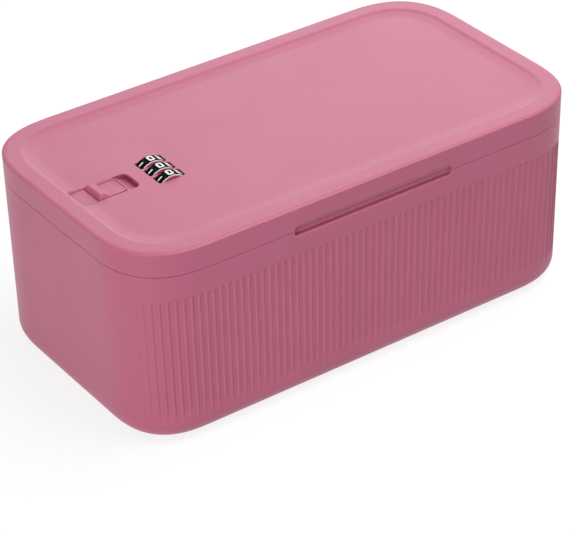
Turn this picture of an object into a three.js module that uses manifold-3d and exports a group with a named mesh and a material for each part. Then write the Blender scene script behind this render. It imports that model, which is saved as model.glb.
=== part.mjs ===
// Medication lock box: a fluted tub, a lift-off lid and a latch with three number dials.
// Millimetres, +Z up. The origin is the middle of the underside. The latch is at the -X end
// and the finger slot is on the front, the -Y side.
import * as THREE from 'three';
import { mergeVertices } from 'three/addons/utils/BufferGeometryUtils.js';
import Module from 'manifold-3d';

const wasm = await Module();
wasm.setup();

// Whole box
const boxLength = 260;
const boxWidth = 141;
const boxHeight = 105;
const lidHeight = 12.6;
const baseInset = 1.8; // how much narrower each side is at the foot than at the top
const cornerReach = 41;
const baseCornerReach = 36;
const cornerPower = 2.63; // 2 is a round corner, more is fuller
const cornerSteps = 10;

// Gaps
const seatGap = 0.3; // between pieces that touch
const slideGap = 0.4; // beside pieces that slide
const overrun = 2; // how far a cut runs past what it cuts

// Tub
const tubWall = 2.4;
const tubFloor = 2.6;
const baseEdgeRadius = 11;
const rimThickness = 3.2;
const rimBandHeight = 4;
const rimChamfer = 0.8;
const footRingWidth = 14;
const footRecess = 0.8;

// Flutes of the long sides
const flutePitch = 3.86;
const fluteDepth = 0.55;
const fluteTopDrop = 12.4; // smooth band under the rim
const fluteBottomRise = 0.4; // above the rounded lower edge
const fluteRunout = 7; // the flutes grow out of the wall over this height
const fluteStartShare = 0.24; // where in the corner the first flute stands
const fluteFadeCount = 5; // flutes that grow to full depth round the corner
const fluteProud = 0.15; // how far the ridges of the cutting form stand off the wall
const fluteOffsetShares = [
  [0.12, 0],
  [0.34, 1],
  [0.66, 1],
  [0.88, 0],
];

// Finger slot at the seam
const fingerSlotLength = 91;
const fingerSlotUp = 1.9; // above the lid's lower edge
const fingerSlotDown = 2.1; // below the rim
const fingerSlotDepth = 1.7;
const fingerSlotRadius = 1.6;

// Lid
const lidEdgeRadius = 2;
const plateThickness = 2.2;
const panelDepth = 1.2;
const panelBorder = 9;
const panelSlope = 1;
const skirtThickness = 2.8;
const plateauInset = 6.5;
const locatingRibThickness = 1.6;
const locatingRibDrop = 2.4; // below the rim
const locatingRibGap = 0.6;
const locatingRibShift = 0.5; // toward the catch, for the slanted way up
const lidRibThickness = 1.4;
const lidRibDepth = 3.5;
const lidRibSpacing = 30;
const lidRibCount = 5;
const lidLongRibOffset = 30;

// The lid leaves the tub at this lean from upright, toward the latch end
const liftLean = 25;
const liftClearance = 0.66;

// How far the whole lock stands from the middle line; less than zero is toward the front
const lockOffset = -2;

// Dials and their cams
const dialCount = 3;
const dialSetback = 56.2; // axis of the dials from the latch end
const dialRadius = 9;
const dialWidth = 5.6;
const dialPitch = 8;
const dialProud = 2; // crown above the panel
const dialChamfer = 0.35;
const dialDigits = 10;
const dialGrooveDepth = 0.25;
const dialGrooveWidth = 0.7;
const windowPlate = 1;
const windowGap = 0.4;
const windowSideGap = 0.4;
const windowRadius = 0.8;
const shaftRadius = 1.5;
const camRadius = 4.3;
const camWidth = 1.8;
const camFlat = 3.3; // from the axis to the flat that lets a tooth pass

// Slider and its pocket
const sliderSetback = 19.1; // ridge of the slider from the latch end
const sliderLength = 15.3;
const sliderStroke = 7;
const sliderSideGap = 0.8; // between the slider and the sides of its pocket
const ridgeLength = 5;
const ridgeHeight = 1.9; // above the panel
const ridgeLean = 1.4; // of the ridge's end face, from its foot to its top
const ridgeTaper = 1.05; // each side of the ridge, from the panel to its top
const rampLength = 2;
const tongueSink = 0.4; // tongue of the slider below the panel
const tongueRimWidth = 0.8;
const tongueRimHeight = 0.35;
const sliderBaseLength = 8.3;
const sliderCornerRadius = 4;
const ridgeEdgeRadius = 0.5;
const pocketHalfWidth = 7;
const pocketDepth = 3;
const pocketFloor = 2;
const pocketFree = 7.2; // open pocket beyond the slider's tongue
const pocketRadius = 3;
const pocketWall = 2;
const trackDepth = 0.8; // shallow track that the ridge overhangs
const trackEndGap = 1.6;
const trackRadius = 1.5;
const stemSetIn = 4.5;
const stemHalfLength = 2.6;
const stemHalfWidth = 2.6;

// Bolt
const boltThickness = 2.2;
const boltDrop = 4.7; // top of the bolt plate below the dials
const boltNoseHalfWidth = 9;
const boltNoseLength = 13.2;
const boltNoseChamfer = 0.8;
const boltTail = 7.8; // end of the bolt plate past the dials' axis
const postHalfWidth = 4;
const toothWidth = 1.4;
const toothStart = 2.7; // first face of a tooth past the dials' axis
const toothTop = 3.6; // below the dials' axis
const toothFootDrop = 4.9; // foot of a tooth below the dials' axis
const toothFootLength = 4.7;

// Lock housing under the lid
const trayWall = 1.6;
const trayFloor = 1.6;
const traySideRoom = 1.9;
const detentRoom = 1.7;
const earRadius = 3.4;
const earThickness = 2;
const earInset = 4.1;
const bayWall = 1.6;
const keeperHalfWidth = 1.3;

// Detent spring
const leafThickness = 0.4;
const leafPlateTop = 9.5; // above its foot
const leafFingerHalfWidth = 1.6;
const leafTipAngle = 126; // degrees from the crown of the dial
const leafTipGap = 0.25;
const leafLeadLength = 2.6;

// Screws
const screwRadius = 1.2;
const screwHeadRadius = 2.6;
const screwHeadHeight = 1.8;
const screwBite = 3.6;
const pilotGap = 0.3;
const bossRadius = 3.2;
const screwPointLength = 0.8;

// Reset button on the end of the shaft
const resetTravel = 2;
const resetCapRadius = 3.4;
const resetCapLength = 3.2;
const resetCapBore = 1.6;
const resetCoilSolid = 1.6; // length of the spring when it is pressed flat
const resetWire = 0.45;
const resetCoilRadius = 2.45;
const resetCoilTurns = 2.5;
const clipRadius = 3;
const clipThickness = 0.7;
const clipMouth = 2.2;
const shaftTail = 0.8;

// Brackets inside the short ends of the tub
const moonRunIn = 2.5; // how far the half-moon reaches into the corner's curve
const bracketDepth = 10.2;
const bracketWall = 2;
const shelfThickness = 2.6;
const mouthHalfWidth = 12;
const mouthGap = 0.9; // shelf above the bolt
const mouthSill = 4.5;
const flangeWidth = 3.5;
const railWall = 2;
const railLip = 2.4;
const railStop = 1.8;

// Rear tongue of the lid
const tongueHalfWidth = 10;
const tongueThickness = 2.4;
const tongueReach = 9; // below the shelf
const tongueClearance = 0.5;
const tongueFlange = 13;
const tongueFlangeThickness = 2.4;
const tongueBossDrop = 4;
const tongueScrewOffset = 7;
const gussetThickness = 1.6;
const gussetOffset = 2.6;

// Heights that follow
const rimHeight = boxHeight - lidHeight;
const lidBottom = rimHeight + seatGap;
const panelTop = boxHeight - panelDepth;
const plateUnder = panelTop - plateThickness;
const pocketBottom = panelTop - pocketDepth;
const bayBottom = pocketBottom - pocketFloor;
const dialAxisHeight = panelTop + dialProud - dialRadius;
const boltTop = dialAxisHeight - dialRadius - boltDrop;
const boltBottom = boltTop - boltThickness;
const trayFloorTop = boltBottom - seatGap;
const trayBottom = trayFloorTop - trayFloor;
const trayTop = bayBottom - seatGap;
const shelfUnder = boltTop + mouthGap;
const shelfTop = shelfUnder + shelfThickness;
const tongueTip = shelfUnder - tongueReach;
const mouthBottom = tongueTip - tongueClearance;
const hoodBottom = mouthBottom - mouthSill;

// Places along the box that follow
const liftSlope = Math.tan(THREE.MathUtils.degToRad(liftLean));
const moonHalfWidth = boxWidth / 2 - cornerReach + moonRunIn;
const bracketBack = halfLengthAt(hoodBottom) - tubWall - seatGap;
const mouthEdge = bracketBack - bracketDepth;
const trayStart = -mouthEdge + (shelfTop - trayBottom) * liftSlope + liftClearance;
const boltTip = -mouthEdge + (shelfTop - boltBottom) * liftSlope + liftClearance;
const dialAxisX = -boxLength / 2 + dialSetback;
const trayEnd = dialAxisX + dialRadius + detentRoom + trayWall;
const sliderStart = -boxLength / 2 + sliderSetback;
const sliderEnd = sliderStart + sliderLength;
const sliderBaseStart = sliderEnd - sliderBaseLength;
const pocketStart = sliderBaseStart - sliderStroke - seatGap;
const pocketEnd = sliderEnd + pocketFree;
const trackStart = sliderStart - sliderStroke - trackEndGap;
const stemX = sliderBaseStart + stemSetIn;

// Places across the box that follow
const trayHalfInside = dialPitch + dialWidth / 2 + seatGap + camWidth + traySideRoom;
const trayHalfWidth = trayHalfInside + trayWall;
const earY = trayHalfWidth + earRadius;
const camOffset = dialWidth / 2 + seatGap + camWidth / 2;
const dialRows = Array.from({ length: dialCount }, (_, i) => (i - (dialCount - 1) / 2) * dialPitch);

const pinkPlastic = { color: 0xcd8199, roughness: 0.55, metalness: 0 };
const blackPlastic = { color: 0x17161a, roughness: 0.4, metalness: 0 };
const greyPlastic = { color: 0x6b6a6e, roughness: 0.5, metalness: 0 };
const whitePlastic = { color: 0xe6e2e0, roughness: 0.45, metalness: 0 };
const steel = { color: 0xb9bcc0, roughness: 0.3, metalness: 1 };

// Solids

function toSolid(geometry) {
  const bare = geometry.clone();
  bare.deleteAttribute('normal');
  bare.deleteAttribute('uv');
  const merged = mergeVertices(bare);
  return new wasm.Manifold(new wasm.Mesh({
    numProp: 3,
    vertProperties: new Float32Array(merged.attributes.position.array),
    triVerts: new Uint32Array(merged.index.array),
  }));
}

function toGeometry(solid) {
  const mesh = solid.getMesh();
  const geometry = new THREE.BufferGeometry();
  geometry.setAttribute('position', new THREE.BufferAttribute(mesh.vertProperties, 3));
  geometry.setIndex(new THREE.BufferAttribute(mesh.triVerts, 1));
  geometry.computeVertexNormals();
  return geometry;
}

function join(...geometries) {
  return geometries.map(toSolid).reduce((whole, piece) => whole.add(piece));
}

function cut(solid, ...geometries) {
  return geometries.map(toSolid).reduce((whole, piece) => whole.subtract(piece), solid);
}

function block(x0, x1, y0, y1, z0, z1) {
  const geometry = new THREE.BoxGeometry(x1 - x0, y1 - y0, z1 - z0);
  return geometry.translate((x0 + x1) / 2, (y0 + y1) / 2, (z0 + z1) / 2);
}

function prism(shape, z0, z1, curveSegments = 6) {
  const options = { depth: z1 - z0, bevelEnabled: false, curveSegments };
  return new THREE.ExtrudeGeometry(shape, options).translate(0, 0, z0);
}

// A shape drawn in X and Z, extruded along Y
function crossPrism(shape, y0, y1, curveSegments = 6) {
  const options = { depth: y1 - y0, bevelEnabled: false, curveSegments };
  return new THREE.ExtrudeGeometry(shape, options).rotateX(Math.PI / 2).translate(0, y1, 0);
}

function roundedRectangle(x0, x1, y0, y1, radius) {
  const shape = new THREE.Shape();
  shape.absarc(x1 - radius, y0 + radius, radius, -Math.PI / 2, 0);
  shape.absarc(x1 - radius, y1 - radius, radius, 0, Math.PI / 2);
  shape.absarc(x0 + radius, y1 - radius, radius, Math.PI / 2, Math.PI);
  shape.absarc(x0 + radius, y0 + radius, radius, Math.PI, 1.5 * Math.PI);
  return shape;
}

function rod(radius, z0, z1, x, y, sides = 10) {
  const geometry = new THREE.CylinderGeometry(radius, radius, z1 - z0, sides).rotateX(Math.PI / 2);
  return geometry.translate(x, y, (z0 + z1) / 2);
}

function polygon(points) {
  return new THREE.Shape(points.map(([x, y]) => new THREE.Vector2(x, y)));
}

// Closed solid through layers of equally many points, bottom layer first
function loft(layers) {
  const count = layers[0].points.length;
  const positions = layers.flatMap(({ points, z }) => points.flatMap((p) => [p.x, p.y, z]));
  const index = [];
  for (let layer = 0; layer < layers.length - 1; layer += 1) {
    for (let i = 0; i < count; i += 1) {
      const a = layer * count + i;
      const b = layer * count + (i + 1) % count;
      index.push(a, b, b + count, a, b + count, a + count);
    }
  }
  const top = (layers.length - 1) * count;
  for (const [a, b, c] of THREE.ShapeUtils.triangulateShape(layers[0].points, [])) {
    index.push(c, b, a);
  }
  for (const [a, b, c] of THREE.ShapeUtils.triangulateShape(layers.at(-1).points, [])) {
    index.push(top + a, top + b, top + c);
  }
  const geometry = new THREE.BufferGeometry();
  geometry.setAttribute('position', new THREE.Float32BufferAttribute(positions, 3));
  geometry.setIndex(index);
  return geometry;
}

// Outline of the box

function narrowingAt(z) {
  return baseInset * (1 - z / boxHeight);
}

function halfLengthAt(z) {
  return boxLength / 2 - narrowingAt(z);
}

function halfWidthAt(z) {
  return boxWidth / 2 - narrowingAt(z);
}

function reachAt(z) {
  return THREE.MathUtils.lerp(baseCornerReach, cornerReach, z / boxHeight);
}

// Point of the +X +Y corner, from 0 at the end wall to 1 at the side wall
function cornerPoint(z, inset, share) {
  const angle = share * Math.PI / 2;
  const reach = reachAt(z) - inset;
  const centreX = halfLengthAt(z) - reachAt(z);
  const centreY = halfWidthAt(z) - reachAt(z);
  const across = Math.max(Math.cos(angle), 0) ** (2 / cornerPower);
  const along = Math.max(Math.sin(angle), 0) ** (2 / cornerPower);
  return new THREE.Vector2(centreX + reach * across, centreY + reach * along);
}

function outline(z, inset, steps = cornerSteps) {
  const corner = Array.from({ length: steps + 1 }, (_, i) => cornerPoint(z, inset, i / steps));
  const flip = (points, sx, sy) => points.map((p) => new THREE.Vector2(p.x * sx, p.y * sy));
  const back = [...corner].reverse();
  return [...corner, ...flip(back, -1, 1), ...flip(corner, -1, -1), ...flip(back, 1, -1)];
}

function layer(z, inset, steps) {
  return { points: outline(z, inset, steps), z };
}

// Layers of a rounded lower edge
function edgeLayers(z, radius, inset, steps) {
  return Array.from({ length: steps + 1 }, (_, i) => {
    const angle = i / steps * Math.PI / 2;
    return layer(z + radius * (1 - Math.cos(angle)), inset + radius * (1 - Math.sin(angle)));
  });
}

// Tub

function fluteRun(z, inset) {
  const steps = cornerSteps * 2;
  const shares = Array.from({ length: steps + 1 }, (_, i) => i / steps)
    .map((share) => fluteStartShare + share * (1 - fluteStartShare));
  const right = shares.map((share) => cornerPoint(z, inset, share));
  const left = [...right].reverse().map((p) => new THREE.Vector2(-p.x, p.y));
  return new THREE.Path([...right, ...left]);
}

const fluteCount = Math.round(fluteRun(rimHeight / 2, 0).getLength() / flutePitch);

function fluteSidePoints(z, depth) {
  const run = fluteRun(z, 0);
  const points = [];
  for (let flute = 0; flute < fluteCount; flute += 1) {
    const fromEnd = Math.min(flute, fluteCount - 1 - flute);
    const strength = Math.min((fromEnd + 1) / fluteFadeCount, 1);
    for (const [place, sunkShare] of fluteOffsetShares) {
      const at = (flute + place) / fluteCount;
      const tangent = run.getTangentAt(at);
      const offset = sunkShare > 0 ? depth * strength * sunkShare : -fluteProud;
      const outward = new THREE.Vector2(-tangent.y, tangent.x);
      points.push(run.getPointAt(at).addScaledVector(outward, offset));
    }
  }
  return points;
}

// Fluted form: outside the end walls it stands clear of the tub
function flutedOutline(z, depth) {
  const back = fluteSidePoints(z, depth);
  const front = back.map((p) => new THREE.Vector2(-p.x, -p.y));
  const nearCorner = cornerPoint(z, -seatGap * 2, fluteStartShare / 2);
  const endX = halfLengthAt(z) + overrun;
  const endY = halfWidthAt(z) - reachAt(z);
  const left = [
    new THREE.Vector2(-nearCorner.x, nearCorner.y),
    new THREE.Vector2(-endX, endY),
    new THREE.Vector2(-endX, -endY),
    new THREE.Vector2(-nearCorner.x, -nearCorner.y),
  ];
  const right = left.map((p) => new THREE.Vector2(-p.x, -p.y));
  return [...back, ...left, ...front, ...right];
}

function fluteCutter() {
  const top = rimHeight - fluteTopDrop;
  const fluted = (z, depth) => ({ points: flutedOutline(z, depth), z });
  const bottom = baseEdgeRadius + fluteBottomRise;
  const core = loft([
    fluted(bottom, -fluteProud),
    fluted(bottom + fluteRunout, fluteDepth),
    fluted(top + overrun, fluteDepth),
  ]);
  const slab = loft([
    layer(bottom + seatGap / 2, -overrun * 2),
    layer(top, -overrun * 2),
  ]);
  return toSolid(slab).subtract(toSolid(core));
}

function fingerSlot() {
  const half = fingerSlotLength / 2;
  const shape = roundedRectangle(
    -half, half, rimHeight - fingerSlotDown, lidBottom + fingerSlotUp, fingerSlotRadius);
  const front = -halfWidthAt(rimHeight);
  return crossPrism(shape, front - overrun, front + fingerSlotDepth);
}

function bracketRail(end, side) {
  const flangeEdge = moonHalfWidth + flangeWidth + seatGap;
  const lipEdge = flangeEdge - railLip;
  const wallX = halfLengthAt(hoodBottom) - tubWall / 2;
  const lipX = bracketBack - bracketWall - seatGap;
  const frontX = lipX - railWall;
  const stopTop = hoodBottom - seatGap;
  const xs = (a, b) => end > 0 ? [a, b] : [-b, -a];
  const ys = (a, b) => side > 0 ? [a, b] : [-b, -a];
  const outer = flangeEdge + railWall;
  return join(
    block(...xs(frontX, wallX), ...ys(flangeEdge, outer), stopTop - railStop, shelfTop),
    block(...xs(frontX, lipX), ...ys(lipEdge, outer), stopTop - railStop, shelfTop),
    block(...xs(frontX, wallX), ...ys(lipEdge, outer), stopTop - railStop, stopTop),
  );
}

function boxTub() {
  const bandBottom = rimHeight - rimBandHeight;
  const outside = loft([...edgeLayers(0, baseEdgeRadius, 0, 5), layer(rimHeight, 0)]);
  const inside = loft([
    ...edgeLayers(tubFloor, baseEdgeRadius - tubWall, tubWall, 4),
    layer(bandBottom - rimChamfer, tubWall),
    layer(bandBottom, rimThickness),
    layer(rimHeight + overrun, rimThickness),
  ]);
  const foot = loft([
    layer(-overrun, baseEdgeRadius + footRingWidth),
    layer(footRecess, baseEdgeRadius + footRingWidth + footRecess),
  ]);
  let tub = toSolid(outside).subtract(fluteCutter());
  tub = cut(tub, inside, foot, fingerSlot());
  for (const end of [-1, 1]) {
    for (const side of [-1, 1]) {
      tub = tub.add(bracketRail(end, side));
    }
  }
  return toGeometry(tub);
}

// Half-moon bracket, its back on X = 0 and its bulge toward +X
function halfMoon(x0, depth) {
  const radius = (moonHalfWidth ** 2 + bracketDepth ** 2) / (2 * bracketDepth);
  const arcRadius = radius - (bracketDepth - depth);
  const centre = bracketDepth - radius;
  const halfAngle = Math.acos((x0 - centre) / arcRadius);
  const shape = new THREE.Shape();
  shape.absarc(centre, 0, arcRadius, -halfAngle, halfAngle);
  return shape;
}

function endBracket() {
  const flange = moonHalfWidth + flangeWidth;
  const hood = prism(halfMoon(0, bracketDepth), hoodBottom, shelfTop, 14);
  const hollow = prism(
    halfMoon(bracketWall, bracketDepth - bracketWall), hoodBottom - overrun, shelfUnder, 14);
  const back = block(0, bracketWall, -flange, flange, hoodBottom, shelfTop);
  const mouth = block(
    bracketWall + seatGap, bracketDepth + overrun, -mouthHalfWidth, mouthHalfWidth,
    mouthBottom, shelfUnder);
  return toGeometry(cut(join(hood, back), hollow, mouth));
}

// Lid

function lidShell() {
  const edgeSteps = 3;
  const rounded = Array.from({ length: edgeSteps + 1 }, (_, i) => {
    const angle = i / edgeSteps * Math.PI / 2;
    const rise = lidEdgeRadius * Math.sin(angle);
    return layer(boxHeight - lidEdgeRadius + rise, lidEdgeRadius * (1 - Math.cos(angle)));
  });
  const outside = loft([layer(lidBottom, 0), ...rounded]);
  const under = loft([
    layer(lidBottom - overrun, skirtThickness),
    layer(boxHeight - plateThickness - lidEdgeRadius / 2, skirtThickness),
    layer(boxHeight - plateThickness, skirtThickness + lidEdgeRadius / 2),
  ]);
  const plateau = loft([
    layer(plateUnder, plateauInset),
    layer(boxHeight - panelDepth / 2, plateauInset),
  ]);
  let lid = cut(toSolid(outside), under).add(toSolid(plateau));
  lid = lid.add(locatingRib()).add(lidRibs());
  lid = lid.add(bosses(tongueScrewPlaces, tongueBossBottom));
  lid = cut(lid, panelRecess(), fingerSlot(), ...pilotHoles(tongueScrewPlaces, tongueBossBottom));
  const lockForms = lockBay().add(bosses(housingScrewPlaces, bayBottom));
  const lockCuts = join(
    ...sliderPocket(), ...dialWindows(), ...pilotHoles(housingScrewPlaces, bayBottom));
  const atLock = (solid) => solid.translate(0, lockOffset, 0);
  return toGeometry(lid.add(atLock(lockForms)).subtract(atLock(lockCuts)));
}

function panelRecess() {
  return loft([
    layer(panelTop, panelBorder + panelSlope),
    layer(panelTop + panelDepth, panelBorder),
    layer(panelTop + panelDepth + overrun, panelBorder),
  ]);
}

// Ring that drops inside the rim, set a little toward the catch
function locatingRib() {
  const outer = rimThickness + locatingRibGap + locatingRibShift;
  const bottom = rimHeight - locatingRibDrop;
  const top = boxHeight - plateThickness + panelDepth / 2;
  const steps = cornerSteps / 2;
  const ring = (inset, z0, z1) => toSolid(loft([layer(z0, inset, steps), layer(z1, inset, steps)]));
  const shell = ring(outer, bottom, top);
  const hollow = ring(outer + locatingRibThickness, bottom - overrun, top + overrun);
  return shell.subtract(hollow).translate(locatingRibShift, 0, 0);
}

function lidRibs() {
  const bottom = plateUnder - lidRibDepth;
  const half = lidRibThickness / 2;
  const start = trayEnd + earRadius;
  const ribs = [];
  for (let i = 0; i < lidRibCount; i += 1) {
    const x = start + i * lidRibSpacing;
    ribs.push(block(x - half, x + half, -boxWidth / 2, boxWidth / 2, bottom, plateUnder + half));
  }
  for (const y of [-lidLongRibOffset, lidLongRibOffset]) {
    ribs.push(block(start, boxLength / 2, y - half, y + half, bottom, plateUnder + half));
  }
  const inside = rimThickness + locatingRibGap + locatingRibShift * 2 + half;
  const limit = loft([layer(bottom - overrun, inside), layer(boxHeight, inside)]);
  return join(...ribs).intersect(toSolid(limit));
}

// Wall round the lock and the thick floor of the slider's pocket
function lockBay() {
  const top = plateUnder + seatGap;
  const ring = cut(
    toSolid(block(trayStart, trayEnd, -trayHalfWidth, trayHalfWidth, bayBottom, top)),
    block(trayStart + bayWall, trayEnd - bayWall, -trayHalfInside, trayHalfInside,
      bayBottom - overrun, top + overrun));
  const pocketHalf = pocketHalfWidth + pocketWall;
  const pocket = toSolid(block(
    pocketStart - pocketWall, pocketEnd + pocketWall, -pocketHalf, pocketHalf, bayBottom, top));
  const keeperBottom = dialAxisHeight + shaftRadius + seatGap;
  const keepers = [-1, 1].map((side) => block(
    dialAxisX - keeperHalfWidth, dialAxisX + keeperHalfWidth,
    side * (trayHalfInside + trayWall / 2) - trayWall / 2,
    side * (trayHalfInside + trayWall / 2) + trayWall / 2, keeperBottom, bayBottom + seatGap));
  return ring.add(pocket).add(join(...keepers));
}

const housingScrewPlaces = [trayStart + earInset, trayEnd - earInset]
  .flatMap((x) => [-earY, earY].map((y) => new THREE.Vector2(x, y)));

const tongueBossBottom = plateUnder - tongueBossDrop;
const tongueTopZ = tongueBossBottom - seatGap;
const tongueScrewX = tongueFaceAt(tongueTopZ) - tongueFlange / 2;
const tongueScrewPlaces = [-tongueScrewOffset, tongueScrewOffset]
  .map((y) => new THREE.Vector2(tongueScrewX, y));

// Outer face of the rear tongue, parallel to the way the lid lifts
function tongueFaceAt(z) {
  return mouthEdge - tongueClearance + (shelfUnder - z) * liftSlope;
}

function bosses(places, bottom) {
  return join(...places.map((p) => rod(bossRadius, bottom, plateUnder + seatGap, p.x, p.y)));
}

function pilotHoles(places, bottom) {
  const top = bottom + screwBite + pilotGap;
  return places.map((p) => rod(screwRadius + pilotGap, bottom - overrun, top, p.x, p.y));
}

function sliderPocket() {
  const top = panelTop + overrun;
  const half = pocketHalfWidth;
  const deep = roundedRectangle(pocketStart, pocketEnd, -half, half, pocketRadius);
  const deepStart = block(pocketStart, pocketStart + pocketRadius * 2, -half, half, pocketBottom, top);
  const track = roundedRectangle(trackStart, pocketStart + pocketRadius, -half, half, trackRadius);
  const slot = block(
    stemX - stemHalfLength - sliderStroke - seatGap, stemX + stemHalfLength + seatGap,
    -stemHalfWidth - slideGap, stemHalfWidth + slideGap, bayBottom - overrun, pocketBottom + overrun);
  return [prism(deep, pocketBottom, top), deepStart, prism(track, panelTop - trackDepth, top), slot];
}

function dialWindows() {
  const reliefTop = panelTop - windowPlate;
  const chord = Math.sqrt(dialRadius ** 2 - (reliefTop - dialAxisHeight) ** 2);
  const halfLength = chord + windowGap;
  const halfWidth = dialWidth / 2 + windowSideGap;
  const windows = dialRows.map((y) => prism(roundedRectangle(
    dialAxisX - halfLength, dialAxisX + halfLength, y - halfWidth, y + halfWidth, windowRadius,
  ), reliefTop - overrun, panelTop + overrun, 3));
  const reliefX = dialRadius + windowGap;
  const reliefY = dialPitch + dialWidth / 2 + windowSideGap;
  const relief = block(
    dialAxisX - reliefX, dialAxisX + reliefX, -reliefY, reliefY, bayBottom - overrun, reliefTop);
  return [...windows, relief];
}

// Rear tongue, screwed under the lid at the catch end

function rearTongue() {
  const top = tongueTopZ;
  const flangeBottom = top - tongueFlangeThickness;
  const slant = tongueThickness / Math.cos(THREE.MathUtils.degToRad(liftLean));
  const start = tongueFaceAt(top) - tongueFlange;
  const flange = block(
    start, tongueFaceAt(top) - seatGap, -tongueHalfWidth, tongueHalfWidth, flangeBottom, top);
  const bar = crossPrism(polygon([
    [tongueFaceAt(top) - slant, top],
    [tongueFaceAt(tongueTip) - slant, tongueTip],
    [tongueFaceAt(tongueTip) - slant / 3, tongueTip],
    [tongueFaceAt(tongueTip + slant / 2), tongueTip + slant / 2],
    [tongueFaceAt(top), top],
  ]), -tongueHalfWidth, tongueHalfWidth);
  const gussetEnd = flangeBottom - tongueFlange + slant;
  const gussets = [-gussetOffset, gussetOffset].map((y) => crossPrism(polygon([
    [start + slant, flangeBottom + seatGap],
    [tongueFaceAt(gussetEnd) - slant, gussetEnd],
    [tongueFaceAt(gussetEnd) - slant / 2, gussetEnd],
    [tongueFaceAt(flangeBottom) - slant / 2, flangeBottom + seatGap],
  ]), y - gussetThickness / 2, y + gussetThickness / 2));
  const holes = tongueScrewPlaces.map(
    (p) => rod(screwRadius + pilotGap, flangeBottom - overrun, top + overrun, p.x, p.y));
  return toGeometry(cut(join(flange, bar, ...gussets), ...holes));
}

// Screw that stands head down, its seat on Z = 0
function screw(length) {
  const points = [
    [0, -screwHeadHeight],
    [screwHeadRadius * 0.7, -screwHeadHeight],
    [screwHeadRadius, -screwHeadHeight / 2],
    [screwHeadRadius, 0],
    [screwRadius, 0],
    [screwRadius, length - screwPointLength],
    [screwRadius / 2, length],
    [0, length],
  ].map(([r, z]) => new THREE.Vector2(r, z));
  return new THREE.LatheGeometry(points, 10).rotateX(Math.PI / 2);
}

// Lock housing

function lockHousing() {
  const half = trayHalfInside;
  const walls = cut(
    toSolid(block(trayStart, trayEnd, -trayHalfWidth, trayHalfWidth, trayBottom, trayTop)),
    block(trayStart + trayWall, trayEnd - trayWall, -half, half, trayFloorTop, trayTop + overrun));
  const earTop = bayBottom - seatGap;
  const ears = housingScrewPlaces.map((p) => rod(earRadius, earTop - earThickness, earTop, p.x, p.y));
  const arms = housingScrewPlaces.map((p) => block(
    p.x - earRadius, p.x + earRadius, Math.min(p.y, Math.sign(p.y) * half),
    Math.max(p.y, Math.sign(p.y) * half), earTop - earThickness, earTop));
  const armSpace = block(
    trayStart + trayWall, trayEnd - trayWall, -half, half, trayFloorTop, trayTop + overrun);
  const holes = housingScrewPlaces.map((p) => rod(
    screwRadius + pilotGap, earTop - earThickness - overrun, earTop + overrun, p.x, p.y));
  const noseSlot = block(
    trayStart - overrun, trayStart + trayWall + overrun, -boltNoseHalfWidth - slideGap,
    boltNoseHalfWidth + slideGap, trayFloorTop, boltTop + slideGap);
  const saddleRadius = shaftRadius + pilotGap;
  const saddle = new THREE.Shape();
  saddle.absarc(dialAxisX, dialAxisHeight, saddleRadius, -Math.PI, 0);
  saddle.lineTo(dialAxisX + saddleRadius, trayTop + overrun);
  saddle.lineTo(dialAxisX - saddleRadius, trayTop + overrun);
  const saddles = crossPrism(saddle, -trayHalfWidth - overrun, trayHalfWidth + overrun, 8);
  return toGeometry(cut(walls.add(join(...ears, ...arms)), armSpace, ...holes, noseSlot, saddles));
}

// Dials, their cams and the shaft; round Y, with the middle of each on its own origin

function numberDial() {
  const shape = new THREE.Shape();
  const digitAngle = 2 * Math.PI / dialDigits;
  const grooveAngle = dialGrooveWidth / dialRadius;
  const at = (radius, angle) => [radius * Math.sin(angle), radius * Math.cos(angle)];
  shape.moveTo(...at(dialRadius, -digitAngle / 2 + grooveAngle / 2));
  const facesPerDigit = 3;
  for (let digit = 0; digit < dialDigits; digit += 1) {
    const first = (digit - 0.5) * digitAngle + grooveAngle / 2;
    const last = (digit + 0.5) * digitAngle - grooveAngle / 2;
    for (let i = 1; i <= facesPerDigit; i += 1) {
      shape.lineTo(...at(dialRadius, THREE.MathUtils.lerp(first, last, i / facesPerDigit)));
    }
    shape.lineTo(...at(dialRadius - dialGrooveDepth, (digit + 0.5) * digitAngle));
    if (digit < dialDigits - 1) {
      shape.lineTo(...at(dialRadius, (digit + 0.5) * digitAngle + grooveAngle / 2));
    }
  }
  const depth = dialWidth - dialChamfer * 2;
  const options = {
    depth,
    bevelSize: dialChamfer,
    bevelThickness: dialChamfer,
    bevelOffset: -dialChamfer,
    bevelSegments: 1,
  };
  const wheel = new THREE.ExtrudeGeometry(shape, options).translate(0, 0, -depth / 2);
  const bore = rod(shaftRadius + pilotGap, -dialWidth, dialWidth, 0, 0, 16);
  return toGeometry(cut(toSolid(wheel), bore)).rotateX(Math.PI / 2);
}

function codeCam() {
  const disc = rod(camRadius, -camWidth / 2, camWidth / 2, 0, 0, 28);
  const flat = block(-camRadius, camRadius, -camRadius - overrun, -camFlat, -camWidth, camWidth);
  const bore = rod(shaftRadius + pilotGap, -camWidth, camWidth, 0, 0, 16);
  return toGeometry(cut(toSolid(disc), flat, bore)).rotateX(Math.PI / 2);
}

const resetCapEnd = -trayHalfWidth - resetTravel - resetCoilSolid;
const clipStart = trayHalfWidth + seatGap;

function dialShaft() {
  const y0 = resetCapEnd - resetCapBore + seatGap;
  const y1 = clipStart + clipThickness + shaftTail;
  const chamfer = shaftRadius / 4;
  const points = [
    [0, y0], [shaftRadius - chamfer, y0], [shaftRadius, y0 + chamfer],
    [shaftRadius, y1 - chamfer], [shaftRadius - chamfer, y1], [0, y1],
  ].map(([r, y]) => new THREE.Vector2(r, y));
  return new THREE.LatheGeometry(points, 16);
}

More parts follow.
